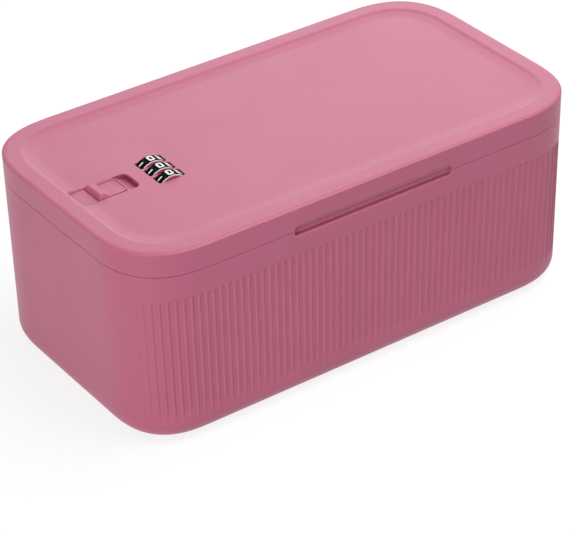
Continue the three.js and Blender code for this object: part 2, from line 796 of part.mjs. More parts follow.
function resetButton() {
  const y0 = resetCapEnd - resetCapLength;
  const bore = shaftRadius + pilotGap;
  const points = [
    [0, y0],
    [resetCapRadius * 0.75, y0],
    [resetCapRadius, y0 + resetCapLength / 4],
    [resetCapRadius, resetCapEnd],
    [bore, resetCapEnd],
    [bore, resetCapEnd - resetCapBore],
    [0, resetCapEnd - resetCapBore],
  ].map(([r, y]) => new THREE.Vector2(r, y));
  return new THREE.LatheGeometry(points, 20);
}

function resetSpring() {
  const wire = resetWire / 2;
  const y0 = resetCapEnd + seatGap + wire;
  const y1 = -trayHalfWidth - seatGap - wire;
  const steps = Math.round(resetCoilTurns * 8);
  const points = Array.from({ length: steps + 1 }, (_, i) => {
    const angle = i / steps * resetCoilTurns * 2 * Math.PI;
    return new THREE.Vector3(
      resetCoilRadius * Math.cos(angle), THREE.MathUtils.lerp(y0, y1, i / steps),
      resetCoilRadius * Math.sin(angle));
  });
  const section = new THREE.Shape();
  section.absarc(0, 0, wire, 0, 2 * Math.PI);
  const options = {
    steps, bevelEnabled: false, curveSegments: 3, extrudePath: new THREE.CatmullRomCurve3(points),
  };
  return new THREE.ExtrudeGeometry(section, options);
}

function shaftClip() {
  const bore = shaftRadius + pilotGap;
  const ring = cut(
    toSolid(rod(clipRadius, -clipThickness / 2, clipThickness / 2, 0, 0, 24)),
    rod(bore, -clipThickness, clipThickness, 0, 0),
    block(-clipMouth / 2, clipMouth / 2, -clipRadius - overrun, 0, -clipThickness, clipThickness));
  return toGeometry(ring).rotateX(Math.PI / 2);
}

function detentSpring() {
  const x1 = trayEnd - trayWall - seatGap;
  const x0 = x1 - leafThickness;
  const z0 = trayFloorTop + seatGap;
  const z1 = z0 + leafPlateTop;
  const half = dialPitch + leafFingerHalfWidth;
  const plate = block(x0, x1, -half, half, z0, z1 - leafPlateTop / 2);
  const angle = THREE.MathUtils.degToRad(leafTipAngle);
  const reach = dialRadius + leafTipGap;
  const tip = new THREE.Vector2(
    dialAxisX + reach * Math.sin(angle), dialAxisHeight + reach * Math.cos(angle));
  const lead = new THREE.Vector2(Math.cos(angle), -Math.sin(angle)).multiplyScalar(-leafLeadLength);
  const away = new THREE.Vector2(Math.sin(angle), Math.cos(angle)).multiplyScalar(leafThickness);
  const end = tip.clone().add(lead).add(away.clone().multiplyScalar(2));
  const bend = z1 - leafPlateTop / 2;
  const finger = polygon([
    [x0, z0 + leafPlateTop / 4], [x1, z0 + leafPlateTop / 4], [x1, bend],
    [tip.x + away.x * 1.6, tip.y + away.y * 1.6 - leafThickness], [tip.x + away.x * 1.8, tip.y + away.y],
    [end.x + away.x, end.y + away.y], [end.x, end.y], [tip.x, tip.y], [x0, bend],
  ]);
  const fingers = dialRows.map(
    (y) => crossPrism(finger, y - leafFingerHalfWidth, y + leafFingerHalfWidth));
  return toGeometry(join(plate, ...fingers));
}

// Slider and bolt

function sliderButton() {
  const half = pocketHalfWidth - sliderSideGap;
  const overhang = panelTop - trackDepth + seatGap;
  const baseBottom = pocketBottom + seatGap;
  const tongueTop = panelTop - tongueSink;
  const top = panelTop + ridgeHeight;
  const ridgeEnd = sliderStart + ridgeLength;
  const faceFoot = new THREE.Vector2(sliderStart, overhang);
  const faceTop = new THREE.Vector2(sliderStart + ridgeLean, top);
  const faceTurn = faceTop.clone().lerp(faceFoot, ridgeEdgeRadius / faceTop.distanceTo(faceFoot));
  const profile = new THREE.Shape();
  profile.moveTo(sliderBaseStart, baseBottom);
  profile.lineTo(sliderEnd, baseBottom);
  profile.lineTo(sliderEnd, tongueTop);
  profile.lineTo(ridgeEnd + rampLength, tongueTop);
  profile.quadraticCurveTo(ridgeEnd + rampLength / 3, tongueTop, ridgeEnd, top - ridgeEdgeRadius);
  profile.quadraticCurveTo(ridgeEnd - ridgeEdgeRadius / 3, top, ridgeEnd - ridgeEdgeRadius * 2, top);
  profile.lineTo(faceTop.x + ridgeEdgeRadius, top);
  profile.quadraticCurveTo(faceTop.x, faceTop.y, faceTurn.x, faceTurn.y);
  profile.lineTo(faceFoot.x, faceFoot.y);
  profile.lineTo(sliderBaseStart, overhang);
  const body = toSolid(crossPrism(profile, -half, half, 5));
  const plan = roundedRectangle(
    sliderStart - sliderLength, sliderEnd, -half, half, sliderCornerRadius);
  const section = polygon([
    [-half, baseBottom - overrun],
    [half, baseBottom - overrun],
    [half, panelTop],
    [half - ridgeTaper, top],
    [half - ridgeTaper, top + overrun],
    [ridgeTaper - half, top + overrun],
    [ridgeTaper - half, top],
    [-half, panelTop],
  ]);
  const tapered = prism(section, sliderStart - overrun, sliderEnd + overrun)
    .rotateX(Math.PI / 2).rotateZ(Math.PI / 2);
  const trimmed = body.intersect(toSolid(prism(plan, baseBottom - overrun, top + overrun)))
    .intersect(toSolid(tapered));
  const rimStart = ridgeEnd + rampLength / 2;
  const rimOuter = roundedRectangle(rimStart, sliderEnd, -half, half, sliderCornerRadius - seatGap);
  const rimInner = roundedRectangle(
    rimStart - sliderCornerRadius, sliderEnd - tongueRimWidth, -half + tongueRimWidth,
    half - tongueRimWidth, sliderCornerRadius - seatGap - tongueRimWidth);
  const rimTop = tongueTop + tongueRimHeight;
  const rimStraight = block(
    rimStart, rimStart + sliderCornerRadius, -half, half, tongueTop - seatGap, rimTop);
  const rim = join(prism(rimOuter, tongueTop - seatGap, rimTop), rimStraight)
    .subtract(toSolid(prism(rimInner, tongueTop - overrun, rimTop + overrun)));
  const stem = block(
    stemX - stemHalfLength, stemX + stemHalfLength, -stemHalfWidth, stemHalfWidth,
    bayBottom, baseBottom + seatGap);
  const pilotTop = tongueTop - slideGap * 2;
  const pilot = rod(screwRadius + pilotGap, bayBottom - overrun, pilotTop, stemX, 0);
  return toGeometry(cut(trimmed.add(rim).add(toSolid(stem)), pilot));
}

const postTop = bayBottom - seatGap;
const sliderScrewSeat = postTop - trayWall * 5;

function latchBolt() {
  const noseEnd = boltTip + boltNoseLength;
  const half = trayHalfInside - seatGap;
  const noseHalf = boltNoseHalfWidth;
  const tail = dialAxisX + boltTail;
  const plan = polygon([
    [boltTip, -noseHalf + boltNoseChamfer],
    [boltTip + boltNoseChamfer, -noseHalf],
    [noseEnd, -noseHalf],
    [noseEnd + boltNoseChamfer, -half],
    [tail, -half],
    [tail, half],
    [noseEnd + boltNoseChamfer, half],
    [noseEnd, noseHalf],
    [boltTip + boltNoseChamfer, noseHalf],
    [boltTip, noseHalf - boltNoseChamfer],
  ]);
  const plate = prism(plan, boltBottom, boltTop);
  const lead = crossPrism(polygon([
    [boltTip - overrun, boltTop + overrun],
    [boltTip - overrun, boltTop - boltNoseChamfer],
    [boltTip, boltTop - boltNoseChamfer],
    [boltTip + boltNoseChamfer, boltTop],
    [boltTip + boltNoseChamfer, boltTop + overrun],
  ]), -noseHalf - overrun, noseHalf + overrun);
  const post = block(
    stemX - postHalfWidth, stemX + postHalfWidth, -postHalfWidth, postHalfWidth,
    boltTop - seatGap, postTop);
  const bore = rod(screwRadius + pilotGap, boltBottom - overrun, postTop + overrun, stemX, 0);
  const counterbore = rod(
    screwHeadRadius + pilotGap, boltBottom - overrun, sliderScrewSeat + seatGap, stemX, 0);
  const teeth = dialRows.map((y) => gateTooth(y + camOffset));
  return toGeometry(cut(join(plate, post, ...teeth), lead, bore, counterbore));
}

// Tooth that passes under a cam only where its flat faces down
function gateTooth(y) {
  const x0 = dialAxisX + toothStart;
  const top = dialAxisHeight - toothTop;
  const foot = dialAxisHeight - toothFootDrop;
  const side = polygon([
    [x0, boltTop - seatGap],
    [x0 + toothFootLength, boltTop - seatGap],
    [x0 + toothFootLength, boltTop + toothWidth],
    [x0 + toothWidth * 1.5, foot],
    [x0 + toothWidth, foot],
    [x0 + toothWidth, top],
    [x0, top],
  ]);
  return crossPrism(side, y - toothWidth / 2, y + toothWidth / 2);
}

// Scene graph

function mesh(name, geometry, look, x = 0, y = 0, z = 0) {
  const piece = new THREE.Mesh(geometry, new THREE.MeshStandardMaterial(look));
  piece.name = name;
  piece.position.set(x, y, z);
  return piece;
}

function tubGroup() {
  const group = new THREE.Group();
  const catchBracket = mesh('catch_bracket', endBracket(), pinkPlastic, bracketBack);
  catchBracket.rotation.z = Math.PI;
  group.add(
    mesh('box_tub', boxTub(), pinkPlastic),
    mesh('strike_bracket', endBracket(), pinkPlastic, -bracketBack),
    catchBracket,
  );
  return group;
}

function dialGroup() {
  const group = new THREE.Group();
  group.position.set(dialAxisX, 0, dialAxisHeight);
  dialRows.forEach((y, i) => {
    group.add(mesh(`number_dial_${i + 1}`, numberDial(), blackPlastic, 0, y));
    group.add(mesh(`code_cam_${i + 1}`, codeCam(), whitePlastic, 0, y + camOffset));
  });
  group.add(
    mesh('dial_shaft', dialShaft(), steel),
    mesh('reset_button', resetButton(), whitePlastic),
    mesh('reset_spring', resetSpring(), steel),
    mesh('shaft_clip', shaftClip(), steel, 0, clipStart + clipThickness / 2),
  );
  return group;
}

function latchGroup() {
  const group = new THREE.Group();
  const shank = bayBottom + screwBite - sliderScrewSeat;
  group.add(
    mesh('slider_button', sliderButton(), pinkPlastic),
    mesh('latch_bolt', latchBolt(), greyPlastic),
    mesh('slider_screw', screw(shank), steel, stemX, 0, sliderScrewSeat),
  );
  return group;
}

function screwRow(name, places, bottom, length) {
  const seat = bottom - seatGap;
  return places.map((p, i) => mesh(`${name}_${i + 1}`, screw(length), steel, p.x, p.y, seat));
}

function lockGroup() {
  const group = new THREE.Group();
  group.position.y = lockOffset;
  const earBottom = bayBottom - seatGap - earThickness;
  const length = bayBottom + screwBite - earBottom;
  group.add(
    mesh('lock_housing', lockHousing(), greyPlastic),
    mesh('detent_spring', detentSpring(), steel),
    ...screwRow('housing_screw', housingScrewPlaces, earBottom, length),
    dialGroup(),
    latchGroup(),
  );
  return group;
}

function lidGroup() {
  const group = new THREE.Group();
  const flangeBottom = tongueTopZ - tongueFlangeThickness;
  const length = tongueBossBottom + screwBite - flangeBottom;
  group.add(
    mesh('lid_shell', lidShell(), pinkPlastic),
    mesh('rear_tongue', rearTongue(), pinkPlastic),
    ...screwRow('tongue_screw', tongueScrewPlaces, flangeBottom, length),
    lockGroup(),
  );
  return group;
}

const lockBox = new THREE.Group();
lockBox.add(tubGroup(), lidGroup());

export default lockBox;
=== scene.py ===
# %% [markdown]
# A medication lock box: a fluted plastic tub, a lift-off lid, and a lock with three number dials.
# The CAD frame holds every solid at its true size. Its curves are facets, its flutes are plain
# grooves and its dials carry no numbers. This lesson puts a smooth, finished piece in the place of
# each solid that shows it, and gives every other solid its own plastic or metal.
# The frame comes in first, and its box is kept, to compare the finished size with it.

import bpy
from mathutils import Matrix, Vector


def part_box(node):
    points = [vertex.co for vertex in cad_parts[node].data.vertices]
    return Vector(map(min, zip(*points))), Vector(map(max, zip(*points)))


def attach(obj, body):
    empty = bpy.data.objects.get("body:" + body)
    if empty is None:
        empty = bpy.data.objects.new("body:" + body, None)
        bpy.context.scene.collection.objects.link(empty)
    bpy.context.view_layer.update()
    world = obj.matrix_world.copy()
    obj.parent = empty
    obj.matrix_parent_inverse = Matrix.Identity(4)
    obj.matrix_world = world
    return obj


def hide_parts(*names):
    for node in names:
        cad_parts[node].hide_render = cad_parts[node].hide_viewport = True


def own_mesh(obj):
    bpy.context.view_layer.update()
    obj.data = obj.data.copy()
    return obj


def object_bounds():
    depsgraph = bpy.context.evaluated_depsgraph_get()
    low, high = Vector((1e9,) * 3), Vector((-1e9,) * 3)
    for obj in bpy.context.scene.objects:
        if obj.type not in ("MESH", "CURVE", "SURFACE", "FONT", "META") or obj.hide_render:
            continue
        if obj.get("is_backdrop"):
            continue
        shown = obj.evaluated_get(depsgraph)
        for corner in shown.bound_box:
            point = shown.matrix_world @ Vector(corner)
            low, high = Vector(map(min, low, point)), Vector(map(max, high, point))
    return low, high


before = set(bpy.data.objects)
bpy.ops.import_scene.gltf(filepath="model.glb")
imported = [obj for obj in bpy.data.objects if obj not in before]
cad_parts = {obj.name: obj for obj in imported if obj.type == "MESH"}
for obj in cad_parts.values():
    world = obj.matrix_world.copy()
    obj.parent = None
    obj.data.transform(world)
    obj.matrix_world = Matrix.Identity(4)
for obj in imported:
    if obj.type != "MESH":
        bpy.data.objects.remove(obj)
cad_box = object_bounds()
print("CAD box, metres:", [round(v, 4) for corner in cad_box for v in corner])

# %% [markdown]
# The photograph looks down on the latch end from the front left with a long lens. Its vanishing
# lines give the camera's place and focal length. A camera object aims along its own -Z axis, so it
# is turned to look at one point of the box and then rolled a little about that line.

# %% Camera
from math import cos, pi, radians, sin

import bmesh
import bpy
import numpy as np
from mathutils import Matrix, Vector

MM = 0.001
scene = bpy.context.scene
camera_place = Vector((-598.99, -856.46, 699.27)) * MM
camera_aim = Vector((-13.81, -15.41, 33.0)) * MM
camera_roll, camera_lens = radians(-1.378), 158.725  # a lens in millimetres, on a 36 mm sensor


def add_object(name, data):
    made = bpy.data.objects.new(name, data)
    scene.collection.objects.link(made)
    return made


def aim_at(thing, place, target, roll=0.0):
    """Stands a camera or a lamp at a place and turns it toward its target."""
    turn = (target - place).to_track_quat("-Z", "Y").to_matrix() @ Matrix.Rotation(roll, 3, "Z")
    thing.matrix_world = Matrix.Translation(place) @ turn.to_4x4()


camera = add_object("camera", bpy.data.cameras.new("camera"))
camera.data.lens = camera_lens
aim_at(camera, camera_place, camera_aim, camera_roll)
scene.camera = camera
print("camera stands", round((camera_aim - camera_place).length, 3), "m away")

# %% [markdown]
# Materials and Geometry Nodes are both graphs of nodes, which are long and hard to read when they
# are written out. Here a small class stands for a node's output, so that a sum in Python adds the
# Math nodes, and one method adds any other node: values or links of its sockets, then settings.

# %% A graph that reads as Python
def operator(operation, swapped=False):
    """A method that answers a Python operator with a Math node."""

    def method(self, other):
        pair = (other, self) if swapped else (self, other)
        return self.graph.math(operation, *pair)

    return method


class Wire:
    """A node's first output, which can be used in sums; wire[port] is another output."""

    def __init__(self, graph, node, port=0):
        self.graph = graph
        self.node = node
        self.port = port

    def __getitem__(self, port):
        return Wire(self.graph, self.node, port)

    __add__ = __radd__ = operator("ADD")
    __mul__ = __rmul__ = operator("MULTIPLY")
    __sub__, __rsub__ = operator("SUBTRACT"), operator("SUBTRACT", swapped=True)
    __truediv__, __rtruediv__ = operator("DIVIDE"), operator("DIVIDE", swapped=True)
    __pow__, __rpow__ = operator("POWER"), operator("POWER", swapped=True)


class Graph:
    """A node tree that nodes are added to."""

    def __init__(self, tree):
        self.tree = tree

    def node(self, kind, links=None, **settings):
        made = self.tree.nodes.new(kind)
        for name, value in settings.items():
            setattr(made, name, value)
        for port, value in (links or {}).items():
            self.plug(made.inputs[port], value)
        return Wire(self, made)

    def plug(self, socket, value):
        if isinstance(value, Wire):
            self.tree.links.new(value.node.outputs[value.port], socket)
        else:
            socket.default_value = value

    def math(self, operation, *values, clamp=False):
        links = dict(enumerate(values))
        return self.node("ShaderNodeMath", links, operation=operation, use_clamp=clamp)

    def vector(self, operation, *values):
        return self.node("ShaderNodeVectorMath", dict(enumerate(values)), operation=operation)

    def smooth(self, value, low, high):
        """0 below low, 1 above high, and a soft step between."""
        links = {0: value, 1: low, 2: high}
        return self.node("ShaderNodeMapRange", links, interpolation_type="SMOOTHSTEP")


# %% [markdown]
# A finish is a Principled shader whose constants are set on its own sockets. Only what varies over
# the surface is linked: colour, roughness and the bump. Every pattern reads Object coordinates, so
# a grain can be written at its true size, in millimetres as everything else here.

# %% Material maker
def srgb(red, green, blue):
    """A colour as a paint chart gives it, 0 to 255, made linear for the shader."""
    shares = (value / 255 for value in (red, green, blue))
    linear = (s / 12.92 if s <= 0.04045 else ((s + 0.055) / 1.055) ** 2.4 for s in shares)
    return (*linear, 1)


def finish(name, build, constants):
    """A material: build(graph, place) returns the wires for the shader's sockets."""
    material = bpy.data.materials.new(name)
    material.use_nodes = True
    graph = Graph(material.node_tree)
    shader = material.node_tree.nodes["Principled BSDF"]
    for port, value in constants.items():
        shader.inputs[port].default_value = value
    place = graph.node("ShaderNodeTexCoord")["Object"]
    for port, wire in build(graph, place).items():
        graph.plug(shader.inputs[port], wire)
    return material


def noise(graph, place, size, detail=2):
    """Cloudy noise whose features are about this size."""
    links = {"Vector": place, "Scale": 1 / (size * MM), "Detail": detail}
    return graph.node("ShaderNodeTexNoise", links)


def blend(graph, factor, first, second):
    """A colour between two colours."""
    return graph.node("ShaderNodeMix", {0: factor, 6: first, 7: second}, data_type="RGBA")[2]


def bump(graph, height, distance, strength):
    links = {"Height": height, "Distance": distance * MM, "Strength": strength}
    return graph.node("ShaderNodeBump", links)


# %% [markdown]
# The box is moulded in one dusty pink plastic. The surface isn't a flat colour: the mould's fine
# spark texture breaks up its shine, the pigment is a little uneven, and handling has polished it in
# soft patches. Four noises of different sizes give these, and two of them also feed the bump.

# %% Pink moulding
def pink_look(graph, place):
    cloud = noise(graph, place, 45, detail=3)
    speck = noise(graph, place, 1.1)
    grain = noise(graph, place, 0.35)
    tone = graph.smooth(cloud, 0.3, 0.7) * 0.5 + graph.smooth(speck, 0.35, 0.65) * 0.5
    handled = graph.smooth(noise(graph, place, 28, detail=4), 0.35, 0.75)
    return {
        "Base Color": blend(graph, tone, srgb(190, 98, 127), srgb(195, 103, 132)),
        "Roughness": handled * -0.04 + grain * 0.08 + 0.38,
        "Normal": bump(graph, grain + speck * 0.6, 0.03, 0.5),
    }


pink = finish("pink_moulding", pink_look, {"IOR": 1.49, "Specular IOR Level": 0.42})

# %% [markdown]
# The dials are moulded in black. Their numbers are white, a thin ring at the edge of each side face
# is painted white as a highlight along the rim, and their side faces are pink. The lock's housing and
# bolt are a grey nylon with a cloudy, waxy surface, and the cams and the reset button are a milky
# acetal.

# %% Plastics of the lock
def plastic(name, dark, pale, rough, grain_size, height, shine=0.5):
    """A moulded plastic between two tones, with a grain of a given size."""

    def look(graph, place):
        cloud = noise(graph, place, 6, detail=3)
        grain = noise(graph, place, grain_size)
        return {
            "Base Color": blend(graph, graph.smooth(cloud, 0.3, 0.7), srgb(*dark), srgb(*pale)),
            "Roughness": grain * 0.14 + cloud * 0.08 + (rough - 0.11),
            "Normal": bump(graph, grain, height, 0.6),
        }

    return finish(name, look, {"IOR": 1.5, "Specular IOR Level": shine})


dial_black = plastic("dial_black", (4, 4, 5), (10, 9, 10), 0.3, 0.25, 0.01, shine=0.03)
# this white colours the numbers, and also the ring painted at each dial's edge as a highlight
numbers_and_painted_highlight = plastic("numbers_and_painted_highlight", (248, 246, 246), (252, 251, 250), 0.4, 0.3, 0.01, shine=0.3)
lock_grey = plastic("lock_nylon", (96, 95, 99), (112, 111, 115), 0.48, 0.4, 0.02)
cam_white = plastic("cam_acetal", (214, 211, 205), (228, 225, 220), 0.36, 0.3, 0.01)

# %% [markdown]
# Screws, spring, clip and shaft are zinc-plated steel. Plating has fine drawn lines and a patchy,
# slightly bluish bloom. Stretched noise gives the lines: its place is squeezed along one axis.

# %% Plated steel
def steel_look(graph, place):
    lines = noise(graph, graph.vector("MULTIPLY", place, (1, 14, 14)), 2.5, detail=4)
    bloom = noise(graph, place, 2.2, detail=3)
    return {
        "Base Color": blend(graph, bloom, srgb(172, 176, 184), srgb(206, 205, 200)),
        "Roughness": lines * 0.16 + bloom * 0.12 + 0.18,
        "Normal": bump(graph, lines, 0.008, 0.5),
    }


steel = finish("plated_steel", steel_look, {"Metallic": 1.0})
print("finishes:", [m.name for m in bpy.data.materials])

# %% [markdown]
# The outline of the box is a rectangle whose corners are a little fuller than round ones, and it
# narrows slightly toward the foot. A ring is that outline at one height, sunk inward by an inset.
# It is cut into four runs, two long sides that carry the flutes and two ends. Points stand at the
# same shares of a run's length in every ring, so that they line up in columns.

# %% Outline of the box, in millimetres
half_length, half_width, box_height = 130, 70.5, 105
base_inset = 1.8
corner_reach, base_corner_reach = 41, 36
corner_power = 2.63
rim_height, lid_bottom = 92.4, 92.7
flute_pitch = 3.84
flute_start_share = 0.24  # where in a corner the first flute stands
side_samples, end_samples = 500, 300  # points along a corner, before a run is divided
END_STEPS = 40  # points along each end


def corner_points(z, inset, shares):
    """Points on a corner of the outline: share 0 is at the box's end, 1 at its long side."""
    angle = shares * pi / 2
    reach = base_corner_reach + (corner_reach - base_corner_reach) * z / box_height
    centre = np.array([half_length, half_width]) - base_inset * (1 - z / box_height) - reach
    curve = np.clip([np.cos(angle), np.sin(angle)], 0, 1) ** (2 / corner_power)
    return centre + (reach - inset) * curve.T


def divided(path, shares):
    """Points at these shares of a path's length."""
    steps = np.hypot(*np.diff(path, axis=0).T)
    travelled = np.concatenate([[0], np.cumsum(steps)]) / steps.sum()
    return np.stack([np.interp(shares, travelled, path[:, axis]) for axis in (0, 1)], 1)


def side_run(z, inset):
    corner = corner_points(z, inset, np.linspace(flute_start_share, 1, side_samples))
    return np.concatenate([corner, corner[::-1] * (-1, 1)])


def end_run(z, inset):
    shares = (np.linspace(0, 1, end_samples) ** 1.5) * flute_start_share
    corner = corner_points(z, inset, shares)
    return np.concatenate([corner[::-1] * (-1, 1), corner * (-1, -1)])


def ring(z, inset, side_shares):
    """One closed row of points round the box, placed by their shares of each run."""
    back = divided(side_run(z, inset), side_shares)
    left = divided(end_run(z, inset), np.arange(END_STEPS) / END_STEPS)
    flat = np.concatenate([back, left, -back, -left])
    return np.column_stack([flat, np.full(len(flat), z)])


run_length = np.hypot(*np.diff(side_run(rim_height / 2, 0), axis=0).T).sum()
flute_count = round((run_length / flute_pitch - 1) / 2) * 2 + 1  # a groove on the middle line
print("flutes on each long side:", flute_count)

# %% [markdown]
# Rings become a skin by joining each row to the next. A flute needs fourteen points, most of them
# on its flanks, and the smooth parts need two, so a fine row has to meet a coarse one: there each
# coarse step becomes a small fan of triangles. Every skin is closed, with its faces turned outward.

# %% Skins from rings
SIDE_STEPS = flute_count * 2
coarse_shares = np.arange(SIDE_STEPS) / SIDE_STEPS
in_flute = np.array([0, 0.05, 0.1, 0.145, 0.185, 0.22, 0.34, 0.5, 0.66, 0.78, 0.815, 0.855, 0.9, 0.95])
fine_places = (np.arange(flute_count)[:, None] + in_flute).ravel()
fine_shares = fine_places / flute_count
FINE = len(in_flute) // 2  # fine steps for each coarse step of a long side


def new_piece(name, points, faces, *materials):
    """An object from points in millimetres."""
    mesh = bpy.data.meshes.new(name)
    mesh.from_pydata((np.asarray(points) * MM).tolist(), [], faces)
    for material in materials:
        mesh.materials.append(material)
    return add_object(name, mesh)


def zip_faces(first, second):
    """Faces between a fine row and a coarse row of point numbers."""
    coarse, fine = sorted((first, second), key=len)
    faces, place = [], 0
    for step in range(len(coarse)):
        count = FINE if step % (SIDE_STEPS + END_STEPS) < SIDE_STEPS else 1
        a, b = coarse[step], coarse[(step + 1) % len(coarse)]
        part = [fine[(place + i) % len(fine)] for i in range(count + 1)]
        place += count
        half = count // 2
        faces += [(a, part[i], part[i + 1]) for i in range(half)]
        faces += [(b, part[i], part[i + 1]) for i in range(half, count)]
        faces.append((a, part[half], b))
    return faces


def skin(name, rows, *materials, closed=False):
    """A closed skin over rows; its first and last rows are filled unless it closes on itself."""
    ends = np.cumsum([len(row) for row in rows])
    numbers = [list(range(end - len(row), end)) for end, row in zip(ends, rows)]
    faces = []
    for first, second in zip(numbers, numbers[1:] + (numbers[:1] if closed else [])):
        if len(first) == len(second):
            faces += zip(first, first[1:] + first[:1], second[1:] + second[:1], second)
        else:
            faces += zip_faces(first, second)
    if not closed:
        faces += [numbers[0], numbers[-1]]
    piece = new_piece(name, np.concatenate(rows), faces, *materials)
    edit = bmesh.new()
    edit.from_mesh(piece.data)
    bmesh.ops.recalc_face_normals(edit, faces=edit.faces)
    edit.to_mesh(piece.data)
    edit.free()
    return piece


def coarse_rows(section):
    """Rows all round the box that follow a list of (inset, height)."""
    return [ring(z, inset, coarse_shares) for inset, z in section]


def arc(centre, radius, start, end, steps):
    """Points round a centre; angles in degrees. In a section, 0 is toward the middle of the box."""
    angles = np.radians(np.linspace(start, end, steps + 1))
    return [(centre[0] + radius * cos(a), centre[1] + radius * sin(a)) for a in angles]


def circle(radius, z, sides, centre=(0, 0)):
    return [(*place, z) for place in arc(centre, radius, 0, 360, sides)[:-1]]


# %% [markdown]
# The tub is one moulding, about 2.4 mm thick. Its section starts in the middle of the floor, climbs
# the inner wall, rolls over the rim, comes down the outside and ends under the foot, where a ring
# 14 mm wide carries the box. All edges have the small radius of a real mould.

# %% Tub without its flutes
tub_wall, tub_floor, edge_radius = 2.4, 2.6, 11
rim_thickness, rim_band, rim_chamfer, edge_soft = 3.2, 4, 0.8, 0.25
foot_ring, foot_recess, foot_soft, mid_height = 14, 0.8, 0.3, 45
flute_top, flute_bottom, flute_runout = 80, 11.4, 7
plain_rows = (88, 84, flute_top + 1)  # heights of the rows of points from the rim downward
cap_rows = [flute_top + 0.1 - 0.22 * step for step in range(11)]
wall_rows = [75, 66, 57, 48, 39, 30, 22]
runout_rows = [flute_bottom + flute_runout * share for share in (1, 0.86, 0.7, 0.54, 0.38, 0.22, 0.1, 0)]

inner_radius = edge_radius - tub_wall
inside = arc((tub_wall + inner_radius, tub_floor + inner_radius), inner_radius, 270, 180, 10)
inside += [(tub_wall, mid_height), (tub_wall, rim_height - rim_band - rim_chamfer)]
inside += [(rim_thickness, rim_height - rim_band), (rim_thickness, rim_height - edge_soft)]
rim = arc((rim_thickness - edge_soft, rim_height - edge_soft), edge_soft, 0, 90, 4)[1:]
rim += arc((edge_soft, rim_height - edge_soft), edge_soft, 90, 180, 4)
rim += [(0, height) for height in plain_rows]
foot = arc((edge_radius, edge_radius), edge_radius, 180, 270, 12)
foot_in = edge_radius + foot_ring
foot += [(foot_in - foot_soft, 0), (foot_in, 0.12), (foot_in + 0.5, foot_recess)]

rows = coarse_rows(inside + rim)
first_fluted = sum(len(row) for row in rows)
rows += [ring(z, 0, fine_shares) for z in cap_rows + wall_rows + runout_rows]
past_fluted = sum(len(row) for row in rows)
rows += coarse_rows(foot)
tub = skin("tub_moulding", rows, pink)
print("tub skin:", len(tub.data.vertices), "points")

# %% [markdown]
# The flutes run up the long sides and round the corners: flat-bottomed grooves not a millimetre
# deep with narrow rounded ribs between them, round at the top, and growing slowly out of the wall
# at the foot. That is a rule, so Geometry Nodes make them. Each point of the wall is given the
# flute number at which it stands, and the tree pushes it inward along its normal.

# %% Number the flutes along each side
half_row = np.concatenate([fine_places, np.full(END_STEPS, -1.0)])
flute_number = np.full(len(tub.data.vertices), -1.0)
flute_number[first_fluted:past_fluted] = np.tile(half_row, (past_fluted - first_fluted) // len(half_row))
tub.data.attributes.new("flute", "FLOAT", "POINT").data.foreach_set("value", flute_number)
print("numbered:", int((flute_number >= 0).sum()), "points")

# %% Geometry Nodes: helpers and the flutes
def node_group(name, inputs):
    """A Geometry Nodes tree with named inputs and a finish, as (graph, wires by name, group)."""
    inputs = {"Geometry": "Geometry", **inputs, "Finish": "Material"}
    group = bpy.data.node_groups.new(name, "GeometryNodeTree")
    group.interface.new_socket("Geometry", in_out="OUTPUT", socket_type="NodeSocketGeometry")
    for label, kind in inputs.items():
        group.interface.new_socket(label, in_out="INPUT", socket_type="NodeSocket" + kind)
    graph = Graph(group)
    entry = graph.node("NodeGroupInput")
    return graph, {label: entry[label] for label in inputs}, group


def close_group(graph, given, geometry):
    """Ends a tree in Realize Instances and Set Material."""
    real = graph.node("GeometryNodeRealizeInstances", {0: geometry})
    painted = graph.node("GeometryNodeSetMaterial", {0: real, "Material": given["Finish"]})
    graph.node("NodeGroupOutput", {0: painted})


def to_plain_mesh(piece):
    """Replaces a piece's mesh by what its modifiers make of it."""
    graph = bpy.context.evaluated_depsgraph_get()
    made = bpy.data.meshes.new_from_object(piece.evaluated_get(graph), depsgraph=graph)
    piece.modifiers.clear()
    piece.data = made
    return piece


def apply_group(piece, group, values):
    """Runs a tree on a piece; inputs are set by the identifiers of their sockets."""
    modifier = piece.modifiers.new(group.name, "NODES")
    modifier.node_group = group
    for item in group.interface.items_tree:
        if item.in_out == "INPUT" and item.name in values:
            modifier[item.identifier] = values[item.name]
    return to_plain_mesh(piece)


graph, given, flutes = node_group("flutes", dict.fromkeys(
    ("Pitch", "Depth", "Flat", "Top", "Bottom", "Runout", "Count", "Fade"), "Float"))
number = graph.node("GeometryNodeInputNamedAttribute", {"Name": "flute"})
height = graph.node("ShaderNodeSeparateXYZ", {0: graph.node("GeometryNodeInputPosition")})[2]
outer = given["Pitch"] * 0.5
beside = (graph.math("FRACT", number) - 0.5) * given["Pitch"]
above = graph.math("MAXIMUM", height - (given["Top"] - outer), 0.0)
away = graph.math("SQRT", beside * beside + above * above)
down_rib = graph.math("DIVIDE", outer - away, outer - given["Flat"] * outer, clamp=True)
groove = down_rib**2.0
grown = graph.smooth(height, given["Bottom"], given["Bottom"] + given["Runout"])
from_end = graph.math("MINIMUM", number, given["Count"] - number)
strength = graph.math("MULTIPLY", from_end / given["Fade"], 1.0, clamp=True)
push = groove * grown * strength * given["Depth"] * -1
normal = graph.node("GeometryNodeInputNormal")
offset = graph.node("ShaderNodeVectorMath", {0: normal, "Scale": push}, operation="SCALE")
moved = graph.node("GeometryNodeSetPosition", {"Geometry": given["Geometry"], "Offset": offset})
close_group(graph, given, moved)

